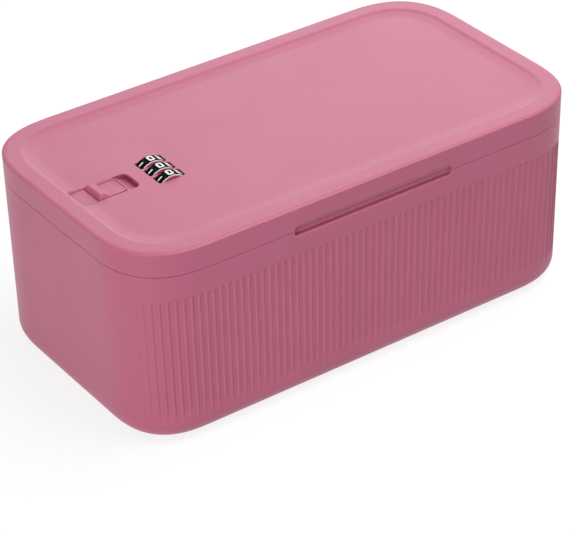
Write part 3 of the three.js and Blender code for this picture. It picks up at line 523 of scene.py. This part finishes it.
flute_depth, flat_share, fade_count = 0.62, 0.56, 5.0  # flutes grow to full depth round a corner
apply_group(tub, flutes, {
    "Pitch": flute_pitch * MM, "Depth": flute_depth * MM, "Flat": flat_share, "Top": flute_top * MM,
    "Bottom": flute_bottom * MM, "Runout": flute_runout * MM, "Count": float(flute_count),
    "Fade": fade_count, "Finish": pink})
print("fluted tub:", len(tub.data.polygons), "faces")

# %% [markdown]
# Some solids are right as they are, apart from their raw sharp edges. A CAD mesh is loose triangles,
# so a copy is merged into one skin first and its flat parts are joined. A narrow bevel then catches
# the light along the edges, and Weighted Normal keeps the flat faces flat between them.

# %% Softened copies of CAD solids
same_point = 0.001  # millimetres within which loose points are one
flat_within, edge_above = 0.5, 35  # degrees: joined as flat below the first, an edge above the second


def copy_of(node, name):
    """A merged copy of a CAD node's mesh, as a new object."""
    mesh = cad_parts[node].data.copy()
    mesh.materials.clear()
    edit = bmesh.new()
    edit.from_mesh(mesh)
    bmesh.ops.remove_doubles(edit, verts=edit.verts, dist=same_point * MM)
    bmesh.ops.dissolve_limit(
        edit, angle_limit=radians(flat_within), verts=edit.verts, edges=edit.edges, delimit={"NORMAL"})
    edit.to_mesh(mesh)
    edit.free()
    return add_object(name, mesh)


def shade(piece, sharp_above=edge_above):
    """Smooth shading that stays crisp at edges, and flat on the large faces."""
    piece.data.shade_smooth()
    piece.data.set_sharp_from_angle(angle=radians(sharp_above))
    weighted = piece.modifiers.new("even_shading", "WEIGHTED_NORMAL")
    weighted.keep_sharp = True
    return to_plain_mesh(piece)


def softened(node, name, material, width):
    piece = paint(copy_of(node, name), material)
    bevel = piece.modifiers.new("soft_edges", "BEVEL")
    bevel.width = width * MM
    bevel.segments = 2
    bevel.limit_method = "ANGLE"
    bevel.angle_limit = radians(edge_above)
    return shade(to_plain_mesh(piece))


def paint(piece, material):
    """One material all over."""
    piece.data.materials.clear()
    piece.data.materials.append(material)
    return piece


def fit_out(piece, body, finish_slot, *nodes):
    """Lets a piece ride on its body and stand for CAD nodes, which are hidden. finish_slot is not used."""
    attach(piece, body)
    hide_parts(*nodes)


# %% [markdown]
# Openings are cut with the Boolean modifier. A real moulded opening never has a razor edge, so each
# cutter flares out at its mouth in a quarter circle, and the cut leaves a rounded lip behind it.

# %% Cutters that leave a rounded lip
floor_angles, lip_angles = np.radians((0, 22.5, 45, 67.5, 90)), np.radians((15, 30, 45, 60, 72, 82))


def combine(piece, other, operation):
    """Joins or cuts with another closed piece, which is used up."""
    modifier = piece.modifiers.new(operation.lower(), "BOOLEAN")
    modifier.operation = operation
    modifier.object = other
    modifier.solver = "MANIFOLD"
    to_plain_mesh(piece)
    bpy.data.objects.remove(other)


def cut(piece, cutter):
    combine(piece, cutter, "DIFFERENCE")


def join(piece, other):
    combine(piece, other, "UNION")


def rounded_outline(x0, x1, y0, y1, radius, grow):
    """A rectangle with round corners, grown outward by grow."""
    left, right, low, high = x0 + radius, x1 - radius, y0 + radius, y1 - radius
    centres = [(right, low), (right, high), (left, high), (left, low)]
    return [point for turn, centre in enumerate(centres)
            for point in arc(centre, radius + grow, 90 * turn - 90, 90 * turn, 6)]


def flared_cutter(bounds, radius, bottom, mouth, flare, upright=True, hollow=0.0, beyond=2.0):
    """A rounded prism from bottom to mouth, flared there, then straight on beyond it."""
    profile = [(bottom + hollow * (1 - cos(a)), -hollow * (1 - sin(a)))
               for a in (floor_angles if hollow else floor_angles[-1:])]
    profile.append((mouth - flare, 0))
    profile += [(mouth - flare + flare * sin(a), flare * (1 - cos(a))) for a in lip_angles]
    profile.append((mouth + beyond, profile[-1][1] + 0.02))
    rows = []
    for depth, grow in profile:
        outline = rounded_outline(*bounds, radius, grow)
        rows.append([(x, y, depth) if upright else (x, -depth, y) for x, y in outline])
    return skin("cutter", rows)


def around(middle, half):
    return middle - half, middle + half


slot_half, slot_low, slot_high, slot_flare = 45.5, rim_height - 2.6, lid_bottom + 1.9, 0.6
slot_face = half_width - base_inset * (1 - rim_height / box_height)


def cut_finger_slot(piece):
    """The main recess, a shallower band along its top, and a fine undercut at its lower edge."""
    for half, low, high, radius, depth, mouth, flare, beyond in (
        (slot_half, slot_low, slot_high - 0.8, 1.2, 1.72, 0, slot_flare, 2),
        (slot_half, slot_low, slot_high, 1.6, 1.3, 0, slot_flare, 2),
        (slot_half - 0.5, slot_low + 0.12, slot_low + 0.75, 0.3, 2.3, 1.5, 0.1, 0.2),
    ):
        bounds, bottom = (-half, half, low, high), slot_face - depth
        cut(piece, flared_cutter(
            bounds, radius, bottom, slot_face - mouth, flare, upright=False, beyond=beyond))


cut_finger_slot(tub)

# %% [markdown]
# Inside, each end of the tub carries two rails that a half-moon bracket slides into. They are plain
# little channels, so they are boxes joined to the tub, in the places that the CAD gives them.

# %% Rails for the brackets
def block(x0, x1, y0, y1, z0, z1):
    return skin("block", [[(x0, y0, z), (x1, y0, z), (x1, y1, z), (x0, y1, z)] for z in (z0, z1)])


rail_wall, rail_floor, rail_play, rail_root, rail_lip = 2, 1.8, 0.3, 1.4, 2.4
bracket_thick = 2
(strike_x, _, strike_z), (_, strike_y, strike_top) = (
    [v / MM for v in corner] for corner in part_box("strike_bracket"))
rail_x0, rail_x1 = strike_x - rail_root, strike_x + bracket_thick + rail_play + rail_wall
rail_y0, rail_y1 = strike_y + rail_play, strike_y + rail_play + rail_wall
rail_z0, rail_z1 = strike_z - rail_play - rail_floor, strike_top
lip_y0 = rail_y0 - rail_lip
for end in (1, -1):
    for side in (-1, 1):
        for x0, y0, z1 in (
            (rail_x0, rail_y0, rail_z1), (rail_x1 - rail_wall, lip_y0, rail_z1),
            (rail_x0, lip_y0, rail_z0 + rail_floor),
        ):
            join(tub, block(end * x0, end * rail_x1, side * y0, side * rail_y1, rail_z0, z1))

paint(shade(tub, 65), pink)
fit_out(tub, "tub", "pink_plastic", "box_tub")
print("tub:", len(tub.data.polygons), "faces")

# %% [markdown]
# The lid is a shallow tray upside down: a skirt, a softly rounded edge, a border and a sunken panel
# that slopes gently from it. Its underside, with ribs, bosses and the walls round the lock, is right
# in the CAD, only its curves are facets. So a smooth skin is laid over a merged copy, the two are
# joined, and cutters then shape the panel's slope, the lip, the slot, the pocket and the windows.

# %% Lid
panel_top = 103.8
border, step_end, run_out = 8, 11, 16.5  # distances from the lid's edge
edge_in, edge_down = 2.2, 0.95  # the lid's edge is an elliptic arc, wider than it is tall
lip_soft = 0.2
cover_wall, cover_floor = 2, 103.4  # inside the cover's skirt, and under its top
lid_edge = lid_bottom - 0.14  # the seam is finer than the room that the CAD leaves
proud = 0.003  # the cover stands this far off the CAD faces, so that none coincide

lid = copy_of("lid_shell", "lid_moulding")
cover = [(-proud, height) for height in (lid_edge, 97, 101)]
cover += [(edge_in * (1 - cos(a)) - proud, box_height - edge_down + edge_down * sin(a) + proud)
          for a in np.radians(np.linspace(0, 90, 13))]
cover_in, cover_top = run_out + 0.3, box_height + proud
cover += [(border / 2, cover_top), (cover_in, cover_top), (cover_in, cover_floor)]
cover += [(cover_wall, cover_floor), (cover_wall, lid_edge)]
join(lid, skin("cover", coarse_rows(cover), closed=True))


def soft_step(value, low, high):
    share = min(max((value - low) / (high - low), 0), 1)
    return share * share * (3 - 2 * share)


def panel_height(inset):
    """A flat border, a soft step, and a longer run-out that reaches the panel."""
    fall = 0.4 * soft_step(inset, border, step_end) + 0.6 * soft_step(inset, border, run_out)
    return box_height + proud - fall * (box_height - panel_top + 2 * proud)


slope_insets = [*np.linspace(border, step_end, 13), *np.linspace(step_end + 0.3, run_out, 16)]
recess = [(border, box_height + 2)] + [(inset, panel_height(inset)) for inset in slope_insets]
cut(lid, skin("recess", coarse_rows(recess[::-1])))

trim = arc((lip_soft, lid_edge + lip_soft), lip_soft, 180, 270, 4)
trim += [(lip_soft, lid_edge - 1), (-1, lid_edge - 1), (-1, lid_edge + lip_soft)]
cut(lid, skin("trim", coarse_rows(trim), closed=True))
cut_finger_slot(lid)
print("lid so far:", len(lid.data.polygons), "faces")

# %% [markdown]
# Each dial shows through a window of its own. The windows get a fine lip, and only their top is cut,
# because below it the CAD has them already.

# %% Windows of the dials
lock_y = -2  # the lock stands this far from the middle line, toward the front
dial_x, dial_z, dial_radius, dial_width, dial_pitch = -73.8, 96.8, 9.0, 5.6, 8.0
dial_rows = [lock_y + step * dial_pitch for step in (-1, 0, 1)]
window_long, window_wide = 7.11, 3.21  # half of each
window_round, window_depth, window_flare = 0.9, 1.1, 0.18
for y in dial_rows:
    window = (*around(dial_x, window_long), *around(y, window_wide))
    cut(lid, flared_cutter(window, window_round, panel_top - window_depth, panel_top, window_flare))
print("windows at", dial_rows)

# %% [markdown]
# The slider's pocket is deep, and a shallow track runs on from it for the ridge. The CAD pocket is
# filled first and cut again, because a rounded floor edge needs plastic that a cut can't add. Under
# the track its corners are square, for the slider's foot, and a slot lets the stem through.

# %% Pocket, track and stem slot
pocket_start, pocket_end, pocket_half = -111, -88.4, 7
pocket_round, pocket_hollow, pocket_floor, pocket_flare = 3, 0.5, 100.8, 0.45
track_start, track_end, track_round, track_hollow, track_floor = -119.5, -100, 1.5, 0.25, 103.05
stem_x, stem_half, slot_play, stem_travel = -99.4, 2.6, 0.3, 7
track_under, fill_joint, pocket_under, stem_under, stem_over = 102.9, 103, 98.9, 98, 102
pocket = (pocket_start, pocket_end, *around(lock_y, pocket_half))
track = (track_start, track_end, *around(lock_y, pocket_half))
fill_y, fill_end = around(lock_y, pocket_half + 1), pocket_end + 1
join(lid, block(track_start - 0.5, fill_end, *fill_y, track_under, panel_top - 2 * proud))
join(lid, block(pocket_start - 1.2, fill_end, *fill_y, pocket_under, fill_joint))
cut(lid, flared_cutter(pocket, pocket_round, pocket_floor, panel_top, pocket_flare, hollow=pocket_hollow))
cut(lid, flared_cutter(track, track_round, track_floor, panel_top, pocket_flare, hollow=track_hollow))
foot_y = around(lock_y, pocket_half - 0.05)
cut(lid, block(pocket_start, pocket_start + 5, *foot_y, pocket_floor + 0.1, track_floor + 0.15))
stem_y = around(lock_y, stem_half + 0.4)
stem_start, stem_end = stem_x - stem_half - slot_play - stem_travel, stem_x + stem_half + slot_play
cut(lid, block(stem_start, stem_end, *stem_y, stem_under, stem_over))

paint(shade(lid), pink)
fit_out(lid, "lid", "pink_plastic", "lid_shell")
print("lid:", len(lid.data.polygons), "faces")

# %% [markdown]
# The slider is what a thumb pushes: a tall ridge at the latch end, a short ramp, and a flat tongue
# with a raised rim and a small oval mark. Seen from above it is a sheet of heights over a plan with
# two round corners, so it is made of slices: each has the heights above and a flat floor below.

# %% Slider
slider_x0, slider_x1, slider_half = -110.9, -94.3, 6.75
ridge_end, ramp_end = slider_x0 + 5, slider_x0 + 7
ridge_top, tongue_top, overhang, base_bottom = 105.7, 103.4, 103.08, 101.1
ridge_lean, ridge_taper, ridge_soft, nose_face = 1.4, 1.05, 0.45, 0.15
plan_round, nose_soft, tongue_soft, rim_width, rim_rise = 4, 0.4, 0.35, 1.0, 0.6
mark_in, mark_stretch, mark_radius, mark_line, mark_depth = 3.9, 1.7, 1.15, 0.45, 0.14


def plan_half(x):
    """Half the slider's width at a place along it."""
    if x > slider_x1 - plan_round:
        return slider_half - plan_round + (plan_round**2 - (x - slider_x1 + plan_round) ** 2) ** 0.5
    past_nose = min((x - slider_x0) / nose_soft, 1)
    return slider_half - nose_soft * (1 - (1 - (1 - past_nose) ** 2) ** 0.5)


def edge_distance(x, y):
    """How far a point of the plan is from the slider's outline."""
    corner_x, corner_y = x - (slider_x1 - plan_round), abs(y) - (slider_half - plan_round)
    if corner_x > 0 and corner_y > 0:
        return plan_round - (corner_x**2 + corner_y**2) ** 0.5
    return min(plan_half(x) - abs(y), x - slider_x0, slider_x1 - x)


def soft_least(first, second, width):
    """The smaller of two heights, rounded where they meet."""
    share = min(max(0.5 + (second - first) / (2 * width), 0), 1)
    return second + (first - second) * share - width * share * (1 - share)


def slider_height(x, y):
    distance = edge_distance(x, y)
    ramp = soft_step(x, ridge_end - 1.5, ramp_end)
    height = ridge_top - (ridge_top - tongue_top) * ramp
    face = overhang + nose_face + (x - slider_x0) * (ridge_top - overhang) / ridge_lean
    side = panel_top + (slider_half - abs(y)) * (ridge_top - panel_top) / ridge_taper
    height = soft_least(soft_least(height, face, ridge_soft), side, ridge_soft)
    on_tongue = soft_step(x, ramp_end - 1.0, ramp_end - 0.2)
    height += rim_rise * on_tongue * (1 - soft_step(distance, rim_width - 0.2, rim_width + 0.2))
    oval = ((x - slider_x1 + mark_in) ** 2 + (y / mark_stretch) ** 2) ** 0.5
    height -= mark_depth * soft_step(mark_line - abs(oval - mark_radius), 0, 0.3)
    soft = tongue_soft * on_tongue
    if distance < soft:
        height -= soft - (soft**2 - (soft - distance) ** 2) ** 0.5
    return height


print("ridge height:", round(slider_height(ridge_end - 2, 0), 2))

# %% [markdown]
# The slices are close where the form turns: over the nose, down the ramp and round the corners.

# %% Slider from slices
across_edge = [0, 0.03, 0.1, 0.2, 0.33, 0.48, 0.66, 0.84, 1.0, 1.15, 1.35]
xs = [slider_x0 + d for d in (0, 0.2, 0.4, 0.6, 0.8, 0.95, 1.1, 1.22, 1.34, 1.46, 1.58, 1.72, 1.9)]
xs += list(np.arange(slider_x0 + 2.2, ramp_end + 0.1, 0.3))
xs += [ramp_end - 0.01, ramp_end + 0.01] + list(np.arange(ramp_end + 0.2, slider_x1 - plan_round, 0.3))
xs += list(slider_x1 - plan_round * (1 - np.sin(np.linspace(0.02, pi / 2, 22))))
xs = sorted(x for x in xs if x <= slider_x1 - 1e-4) + [slider_x1]
inner = np.linspace(-1, 1, 27)[1:-1]
rows = []
for x in xs:
    half = plan_half(x)
    ys = [-(half - d) for d in across_edge] + list(inner * (half - across_edge[-1]))
    ys += [half - d for d in reversed(across_edge)]
    floor_z = overhang if x < ramp_end else base_bottom
    top = [(x, lock_y + y, slider_height(x, y)) for y in ys]
    rows.append(top + [(x, y, floor_z) for x, y, _ in reversed(top)])
slider = skin("slider", rows, pink)
stem_low, pilot_radius = 98.8, 1.5
join(slider, block(*around(stem_x, stem_half), *around(lock_y, stem_half), stem_low, 101.4))
cut(slider, skin("pilot", [circle(pilot_radius, z, 32, (stem_x, lock_y)) for z in (97, 102.6)]))
paint(shade(slider, 40), pink)
fit_out(slider, "latch", "pink_plastic", "slider_button")
print("slider:", len(slider.data.polygons), "faces")

# %% [markdown]
# Each dial is a wheel with ten numbers and a notch between each two for the detent spring. The
# band is black, a thin ring at its edge is painted white as a highlight along the rim, and the side
# faces are the box's own pink. The wheel is a turned profile whose radius dips at each notch. The
# numbers stand a hair above the band.

# %% Dial wheels
digit_count, digit_rise = 10, 0.05
rim_radius = dial_radius - digit_rise
half_dial = dial_width / 2
notch_depth, notch_half, wheel_steps = 0.25, 0.4, 180
profile = [(1.8, -half_dial), (3.3, -half_dial), (3.6, -half_dial + 0.25), (7, -half_dial + 0.25)]
profile += [(7.3, -half_dial), (8.2, -half_dial)]
profile += [(rim_radius - drop, -half_dial + back) for drop, back in
            [(0.35, 0), (0.17, 0.05), (0.05, 0.17), (0, 0.35)]]
profile += [(rim_radius, share * 1.3) for share in (-1, 0, 1)]
profile += [(r, -y) for r, y in reversed(profile[:10])]
tones = []
for (r0, back0), (r1, back1) in zip(profile, profile[1:] + profile[:1]):
    # faces at the outer edge of each side face are painted white as a highlight along the rim
    on_painted_highlight_ring = min(abs(back0), abs(back1)) > half_dial - 0.06
    tones += [2 if min(r0, r1) < 8.1 else 1 if on_painted_highlight_ring else 0] * wheel_steps
for index, y in enumerate(dial_rows, start=1):
    rows = []
    for radius, back in profile:
        row = []
        for angle in np.arange(wheel_steps) * 2 * pi / wheel_steps:
            from_notch = abs((angle * digit_count / (2 * pi)) % 1 - 0.5)
            notch = notch_depth * max(0, 1 - from_notch * 2 * pi / digit_count * rim_radius / notch_half)
            at = radius - notch if radius > 7.5 else radius
            row.append((dial_x + at * sin(angle), y + back, dial_z + at * cos(angle)))
        rows.append(row)
    wheel = skin(f"dial_wheel_{index}", rows, dial_black, numbers_and_painted_highlight, pink, closed=True)
    wheel.data.polygons.foreach_set("material_index", tones)
    shade(wheel, 30)
    fit_out(wheel, f"dial_{index}", "dial_plastic", f"number_dial_{index}")
print("dial wheels:", len(tones), "faces each")

# %% [markdown]
# The numbers run round the wheel with their tops toward the catch end. They are squat, square-built
# numerals of one stroke width, so each is drawn by its centre lines. A line is given its width and
# a slight thickness, corners are rounded, and where strokes meet they are joined into one slab.

# %% Numerals
digit_wide, digit_tall, stroke = 4.3, 3.2, 0.95
(left, right), (low, high) = (around(0, (size - stroke) / 2) for size in (digit_wide, digit_tall))
round_path = [(left, low), (right, low), (right, high), (left, high), (left, low)]
numeral_lines = {  # a line that ends where it starts is closed
    0: [round_path],
    1: [[(0, low + 0.1), (0, high - 0.1)]],
    2: [[(left, high), (right, high), (right, 0), (left, 0), (left, low), (right, low)]],
    3: [[(left, high), (right, high), (right, low), (left, low)], [(left * 0.7, 0), (right, 0)]],
    4: [[(left, high), (left, 0), (right, 0)], [(right, high), (right, low)]],
    5: [[(right, high), (left, high), (left, 0), (right, 0), (right, low), (left, low)]],
    6: [[(left, low), (right, low), (right, 0), (left, 0), (left, low)],
        [(left, 0), (left, high), (right, high)]],
    7: [[(left, high), (right, high), (0, low)]],
    8: [round_path, [(left, 0), (right, 0)]],
    9: [[(left, 0), (right, 0), (right, high), (left, high), (left, 0)],
        [(right, 0), (right, low), (left, low)]],
}


def rounded_path(corners, closed, radius=0.55, steps=5):
    """The corners of a path, each replaced by a short curve."""
    corners = [Vector(c) for c in corners]
    count, points = len(corners), []
    for i, corner in enumerate(corners):
        if not closed and i in (0, count - 1):
            points.append(corner)
            continue
        before, after = corners[i - 1], corners[(i + 1) % count]
        a = corner + (before - corner).normalized() * min(radius, (before - corner).length / 2)
        b = corner + (after - corner).normalized() * min(radius, (after - corner).length / 2)
        for share in np.linspace(0, 1, steps):
            points.append(a.lerp(corner, share).lerp(corner.lerp(b, share), share))
    return points


def stroke_slab(path, thick, wide):
    """A path as a slab of this width, from -thick to 0."""
    closed = path[0] == path[-1]
    points = rounded_path(path[:-1] if closed else path, closed)
    count, rows = len(points), []
    for i, point in enumerate(points):
        before = points[i - 1] if closed or i else point
        after = points[(i + 1) % count] if closed or i < count - 1 else point
        into = (point - before).normalized() if point != before else (after - point).normalized()
        out = (after - point).normalized() if point != after else into
        along = (into + out).normalized()
        across = Vector((-along.y, along.x)) * (wide / 2 / max(along.dot(into), 0.5))
        if not closed and i in (0, count - 1):
            point = point + along * (wide / 2 - 0.02) * (1 if i else -1)
        one, other = point + across, point - across
        rows.append([(*one, -thick), (*other, -thick), (*other, 0), (*one, 0)])
    return skin("stroke", rows, closed=closed)


def numeral(value, thick):
    wide = stroke * 0.8 if value == 1 else stroke
    whole, *others = [stroke_slab(path, thick, wide) for path in numeral_lines[value]]
    for slab in others:
        join(whole, slab)
    points = [tuple(v.co / MM) for v in whole.data.vertices]
    faces = [list(face.vertices) for face in whole.data.polygons]
    bpy.data.objects.remove(whole)
    return points, faces


# %% [markdown]
# The numerals are laid out flat first, as a strip as long as the rim, and Geometry Nodes wrap the
# strip round the wheel: the place along it becomes an angle, and its height adds to the radius. The
# wheels rest with a 0 at the crown, a hair past the middle as the photograph has them.

# %% Geometry Nodes: wrap the numbers round a dial
graph, given, wrap = node_group("wrap_on_wheel", {"Radius": "Float", "Axis": "Vector", "Detail": "Int"})
fine = graph.node("GeometryNodeSubdivideMesh", {0: given["Geometry"], 1: given["Detail"]})
flat = graph.node("ShaderNodeSeparateXYZ", {0: graph.node("GeometryNodeInputPosition")})
angle = flat[0] / given["Radius"]
reach = given["Radius"] + flat[2]
bent = graph.node("ShaderNodeCombineXYZ", {
    0: graph.math("SINE", angle) * reach, 1: flat[1], 2: graph.math("COSINE", angle) * reach})
on_axis = graph.vector("ADD", bent, given["Axis"])
wrapped = graph.node("GeometryNodeSetPosition", {"Geometry": fine, "Position": on_axis})
close_group(graph, given, wrapped)

strip_points, strip_faces = [], []
strip_shift = 0.3  # how far along the strip the 0 stands from the crown
for value in range(digit_count):
    points, faces = numeral(value, 3 * digit_rise)
    place = strip_shift - value * 2 * pi * dial_radius / digit_count
    base = len(strip_points)
    strip_points += [(place + y, -x, z + digit_rise) for x, y, z in points]
    strip_faces += [[base + n for n in face] for face in faces]
for index, y in enumerate(dial_rows, start=1):
    numbers = new_piece(f"dial_numbers_{index}", strip_points, strip_faces, numbers_and_painted_highlight)
    apply_group(numbers, wrap, {
        "Radius": rim_radius * MM, "Axis": (dial_x * MM, y * MM, dial_z * MM),
        "Detail": 2, "Finish": numbers_and_painted_highlight})
    shade(numbers, 40)
    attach(numbers, f"dial_{index}")
print("numbers:", len(numbers.data.polygons), "faces on each dial")

# %% [markdown]
# Seven small screws hold the lock together: a pan head with a cross recess and a shank that thins
# to a point. One is made for each group, and Geometry Nodes put it on every place, each turned by
# its own random amount, as screws end up when they are driven by hand.

# %% Geometry Nodes: screws
graph, given, fasten = node_group("screws", {"Screw": "Object", "Seed": "Int", "Turn": "Float"})
points = graph.node("GeometryNodeMeshToPoints", {0: given["Geometry"]})
form = graph.node("GeometryNodeObjectInfo", {0: given["Screw"]})["Geometry"]
turn = graph.node("FunctionNodeRandomValue", {3: given["Turn"], "Seed": given["Seed"]})[1]
spun = graph.node("ShaderNodeCombineXYZ", {2: turn})
placed = graph.node("GeometryNodeInstanceOnPoints", {"Points": points, "Instance": form, "Rotation": spun})
close_group(graph, given, placed)

screw_head = [(0.01, 0), (1.3, 0), (2.1, 0.2), (2.5, 0.7), (2.6, 1.1), (2.6, 1.65)]
screw_head += [(2.45, 1.8), (1.2, 1.8)]  # radius, and distance from the head's top
screw_tip = [(1.2, 1.4), (0.75, 0.2), (0.5, 0)]  # the same, from the tip
cross_reach, cross_half, cross_depth = 1.5, 0.32, 0.9
for name, body, nodes, seed in (
    ("tongue_screws", "lid", ["tongue_screw_1", "tongue_screw_2"], 3),
    ("housing_screws", "lid", [f"housing_screw_{i}" for i in (1, 2, 3, 4)], 5),
    ("bolt_screw", "latch", ["slider_screw"], 8),
):
    boxes = [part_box(node) for node in nodes]
    seats = [((lo.x + hi.x) / 2 / MM, (lo.y + hi.y) / 2 / MM, lo.z / MM) for lo, hi in boxes]
    length = (boxes[0][1].z - boxes[0][0].z) / MM
    screw_profile = screw_head + [(radius, length - back) for radius, back in screw_tip]
    screw = skin("screw_form", [circle(radius, z, 24) for radius, z in screw_profile], steel)
    for x, y in ((cross_reach, cross_half), (cross_half, cross_reach)):
        cut(screw, block(-x, x, -y, y, -1, cross_depth))
    row = new_piece(name, seats, [], steel)
    apply_group(row, fasten, {"Screw": screw, "Seed": seed, "Turn": 3.0, "Finish": steel})
    bpy.data.objects.remove(screw)
    shade(row, 30)
    fit_out(row, body, "steel", *nodes)
    print(name, "at", len(seats), "places")

# %% [markdown]
# The reset spring is a short coil of wire between the button and the housing, so it is a spiral
# with a round section. The button presses it together toward the housing.

# %% Geometry Nodes: reset spring
graph, given, coil = node_group("coil", dict.fromkeys(("Turns", "Radius", "Length", "Wire"), "Float"))
path = graph.node("GeometryNodeCurveSpiral", {
    "Resolution": 40, "Rotations": given["Turns"], "Start Radius": given["Radius"],
    "End Radius": given["Radius"], "Height": given["Length"]})
section = graph.node("GeometryNodeCurvePrimitiveCircle", {"Resolution": 12, "Radius": given["Wire"]})
wire = graph.node("GeometryNodeCurveToMesh", {"Curve": path, "Profile Curve": section, "Fill Caps": True})
close_group(graph, given, wire)

coil_lo, coil_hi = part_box("reset_spring")
wire_radius, coil_radius, coil_turns, least_share = 0.225, 2.45, 2.5, 0.34
spring = new_piece("reset_coil", [(0, 0, 0)], [], steel)
apply_group(spring, coil, {
    "Turns": coil_turns, "Radius": coil_radius * MM, "Wire": wire_radius * MM,
    "Length": (coil_hi.y - coil_lo.y) - wire_radius * 2 * MM, "Finish": steel})
along_y = Matrix.Rotation(-pi / 2, 4, "X")
start = Matrix.Translation((dial_x * MM, coil_lo.y + wire_radius * MM, dial_z * MM))
spring.data.transform(start @ along_y)
shade(spring, 50)
fit_out(spring, "lid", "steel", "reset_spring")
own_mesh(spring)
print("reset coil:", len(spring.data.polygons), "faces")

# %% [markdown]
# Everything else keeps its CAD shape with softened edges: the two half-moon brackets and the rear
# tongue in the box's own pink, the grey housing and bolt, the pale cams and button, and the plain
# steel parts. A thin part gets a thin bevel, so that its edges don't meet.

# %% The remaining pieces
for node, name, body, finish_slot, material, width in (
    ("strike_bracket", "strike_moon", "tub", "pink_plastic", pink, 0.4),
    ("catch_bracket", "catch_moon", "tub", "pink_plastic", pink, 0.4),
    ("rear_tongue", "rear_tongue_moulding", "lid", "pink_plastic", pink, 0.3),
    ("lock_housing", "housing_tray", "lid", "lock_plastic", lock_grey, 0.25),
    ("latch_bolt", "bolt_plate", "latch", "lock_plastic", lock_grey, 0.2),
    *((f"code_cam_{i}", f"cam_{i}", f"dial_{i}", "cam_plastic", cam_white, 0.15) for i in (1, 2, 3)),
    ("reset_button", "reset_cap", "reset", "cam_plastic", cam_white, 0.25),
    ("dial_shaft", "shaft", "reset", "steel", steel, 0.1),
    ("shaft_clip", "clip", "reset", "steel", steel, 0.1),
    ("detent_spring", "detent_leaf", "lid", "steel", steel, 0.06),
):
    piece = softened(node, name, material, width)
    fit_out(piece, body, finish_slot, node)
    print(name, len(piece.data.polygons), "faces")

# %% [markdown]
# A product photograph like this one is taken on a white sweep under big soft lamps: one overhead
# that lights the lid, one low at the front left that picks out the ribs, and one behind that lays a
# sheen on the lid. The floor and the world are white only where the camera or a reflection sees
# them. For the light itself they stay grey, so that colours render as written, with a soft shadow.

# %% Floor and light
def empty_graph(holder):
    """The emptied node tree of a material or a world."""
    holder.use_nodes = True
    holder.node_tree.nodes.clear()
    return Graph(holder.node_tree)


def white_where_seen(graph, seen, rest):
    """Mixes two shaders: the first where the camera, a reflection or clear plastic looks."""
    path = graph.node("ShaderNodeLightPath")
    looked = graph.math("MAXIMUM", path["Is Camera Ray"], path["Is Glossy Ray"])
    looked = graph.math("MAXIMUM", looked, path["Is Transmission Ray"])
    return graph.node("ShaderNodeMixShader", {0: looked, 1: rest, 2: seen})


floor_material = bpy.data.materials.new("floor_white")
graph = empty_graph(floor_material)
plain = graph.node("ShaderNodeBsdfDiffuse", {"Color": (0.5, 0.5, 0.5, 1)})
soft = graph.node("ShaderNodeBsdfDiffuse", {"Color": (0.2, 0.2, 0.2, 1)})
glow = graph.node("ShaderNodeEmission", {"Color": (1, 1, 1, 1), "Strength": 0.84})
seen = graph.node("ShaderNodeAddShader", {0: soft, 1: glow})
graph.node("ShaderNodeOutputMaterial", {0: white_where_seen(graph, seen, plain)})

floor_half = 3000
corners = [(x * floor_half, y * floor_half, 0) for x, y in ((-1, -1), (1, -1), (1, 1), (-1, 1))]
floor = new_piece("floor", corners, [(0, 1, 2, 3)], floor_material)
floor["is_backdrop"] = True

scene.world = bpy.data.worlds.new("studio")
graph = empty_graph(scene.world)
white = graph.node("ShaderNodeBackground", {0: (1, 1, 1, 1), 1: 1.0})
ambient = graph.node("ShaderNodeBackground", {0: (1, 1, 1, 1), 1: 0.2})
graph.node("ShaderNodeOutputWorld", {0: white_where_seen(graph, white, ambient)})
lamp_aim = Vector((0, 0, 0.05))


def soft_lamp(name, place, size, power):
    lamp = add_object(name, bpy.data.lights.new(name, "AREA"))
    lamp.data.shape = "DISK"
    lamp.data.size = size
    lamp.data.energy = power
    aim_at(lamp, Vector(place), lamp_aim)


soft_lamp("top_lamp", (0.45, -0.35, 1.45), 1.2, 17.5)
soft_lamp("front_lamp", (-1.12, -0.65, 0.2), 0.5, 8)
soft_lamp("back_lamp", (0.9, 1.05, 0.8), 1.2, 5.5)
scene.view_settings.view_transform = "Standard"
print("lamps:", [lamp.name for lamp in bpy.data.lights])

# %% [markdown]
# The dressed box must keep the size of the CAD box. Both boxes are written down side by side.

dressed_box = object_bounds()
boxes = {
    "cad": [list(corner) for corner in cad_box],
    "visual": [list(corner) for corner in dressed_box],
}
print("sizes:", boxes)
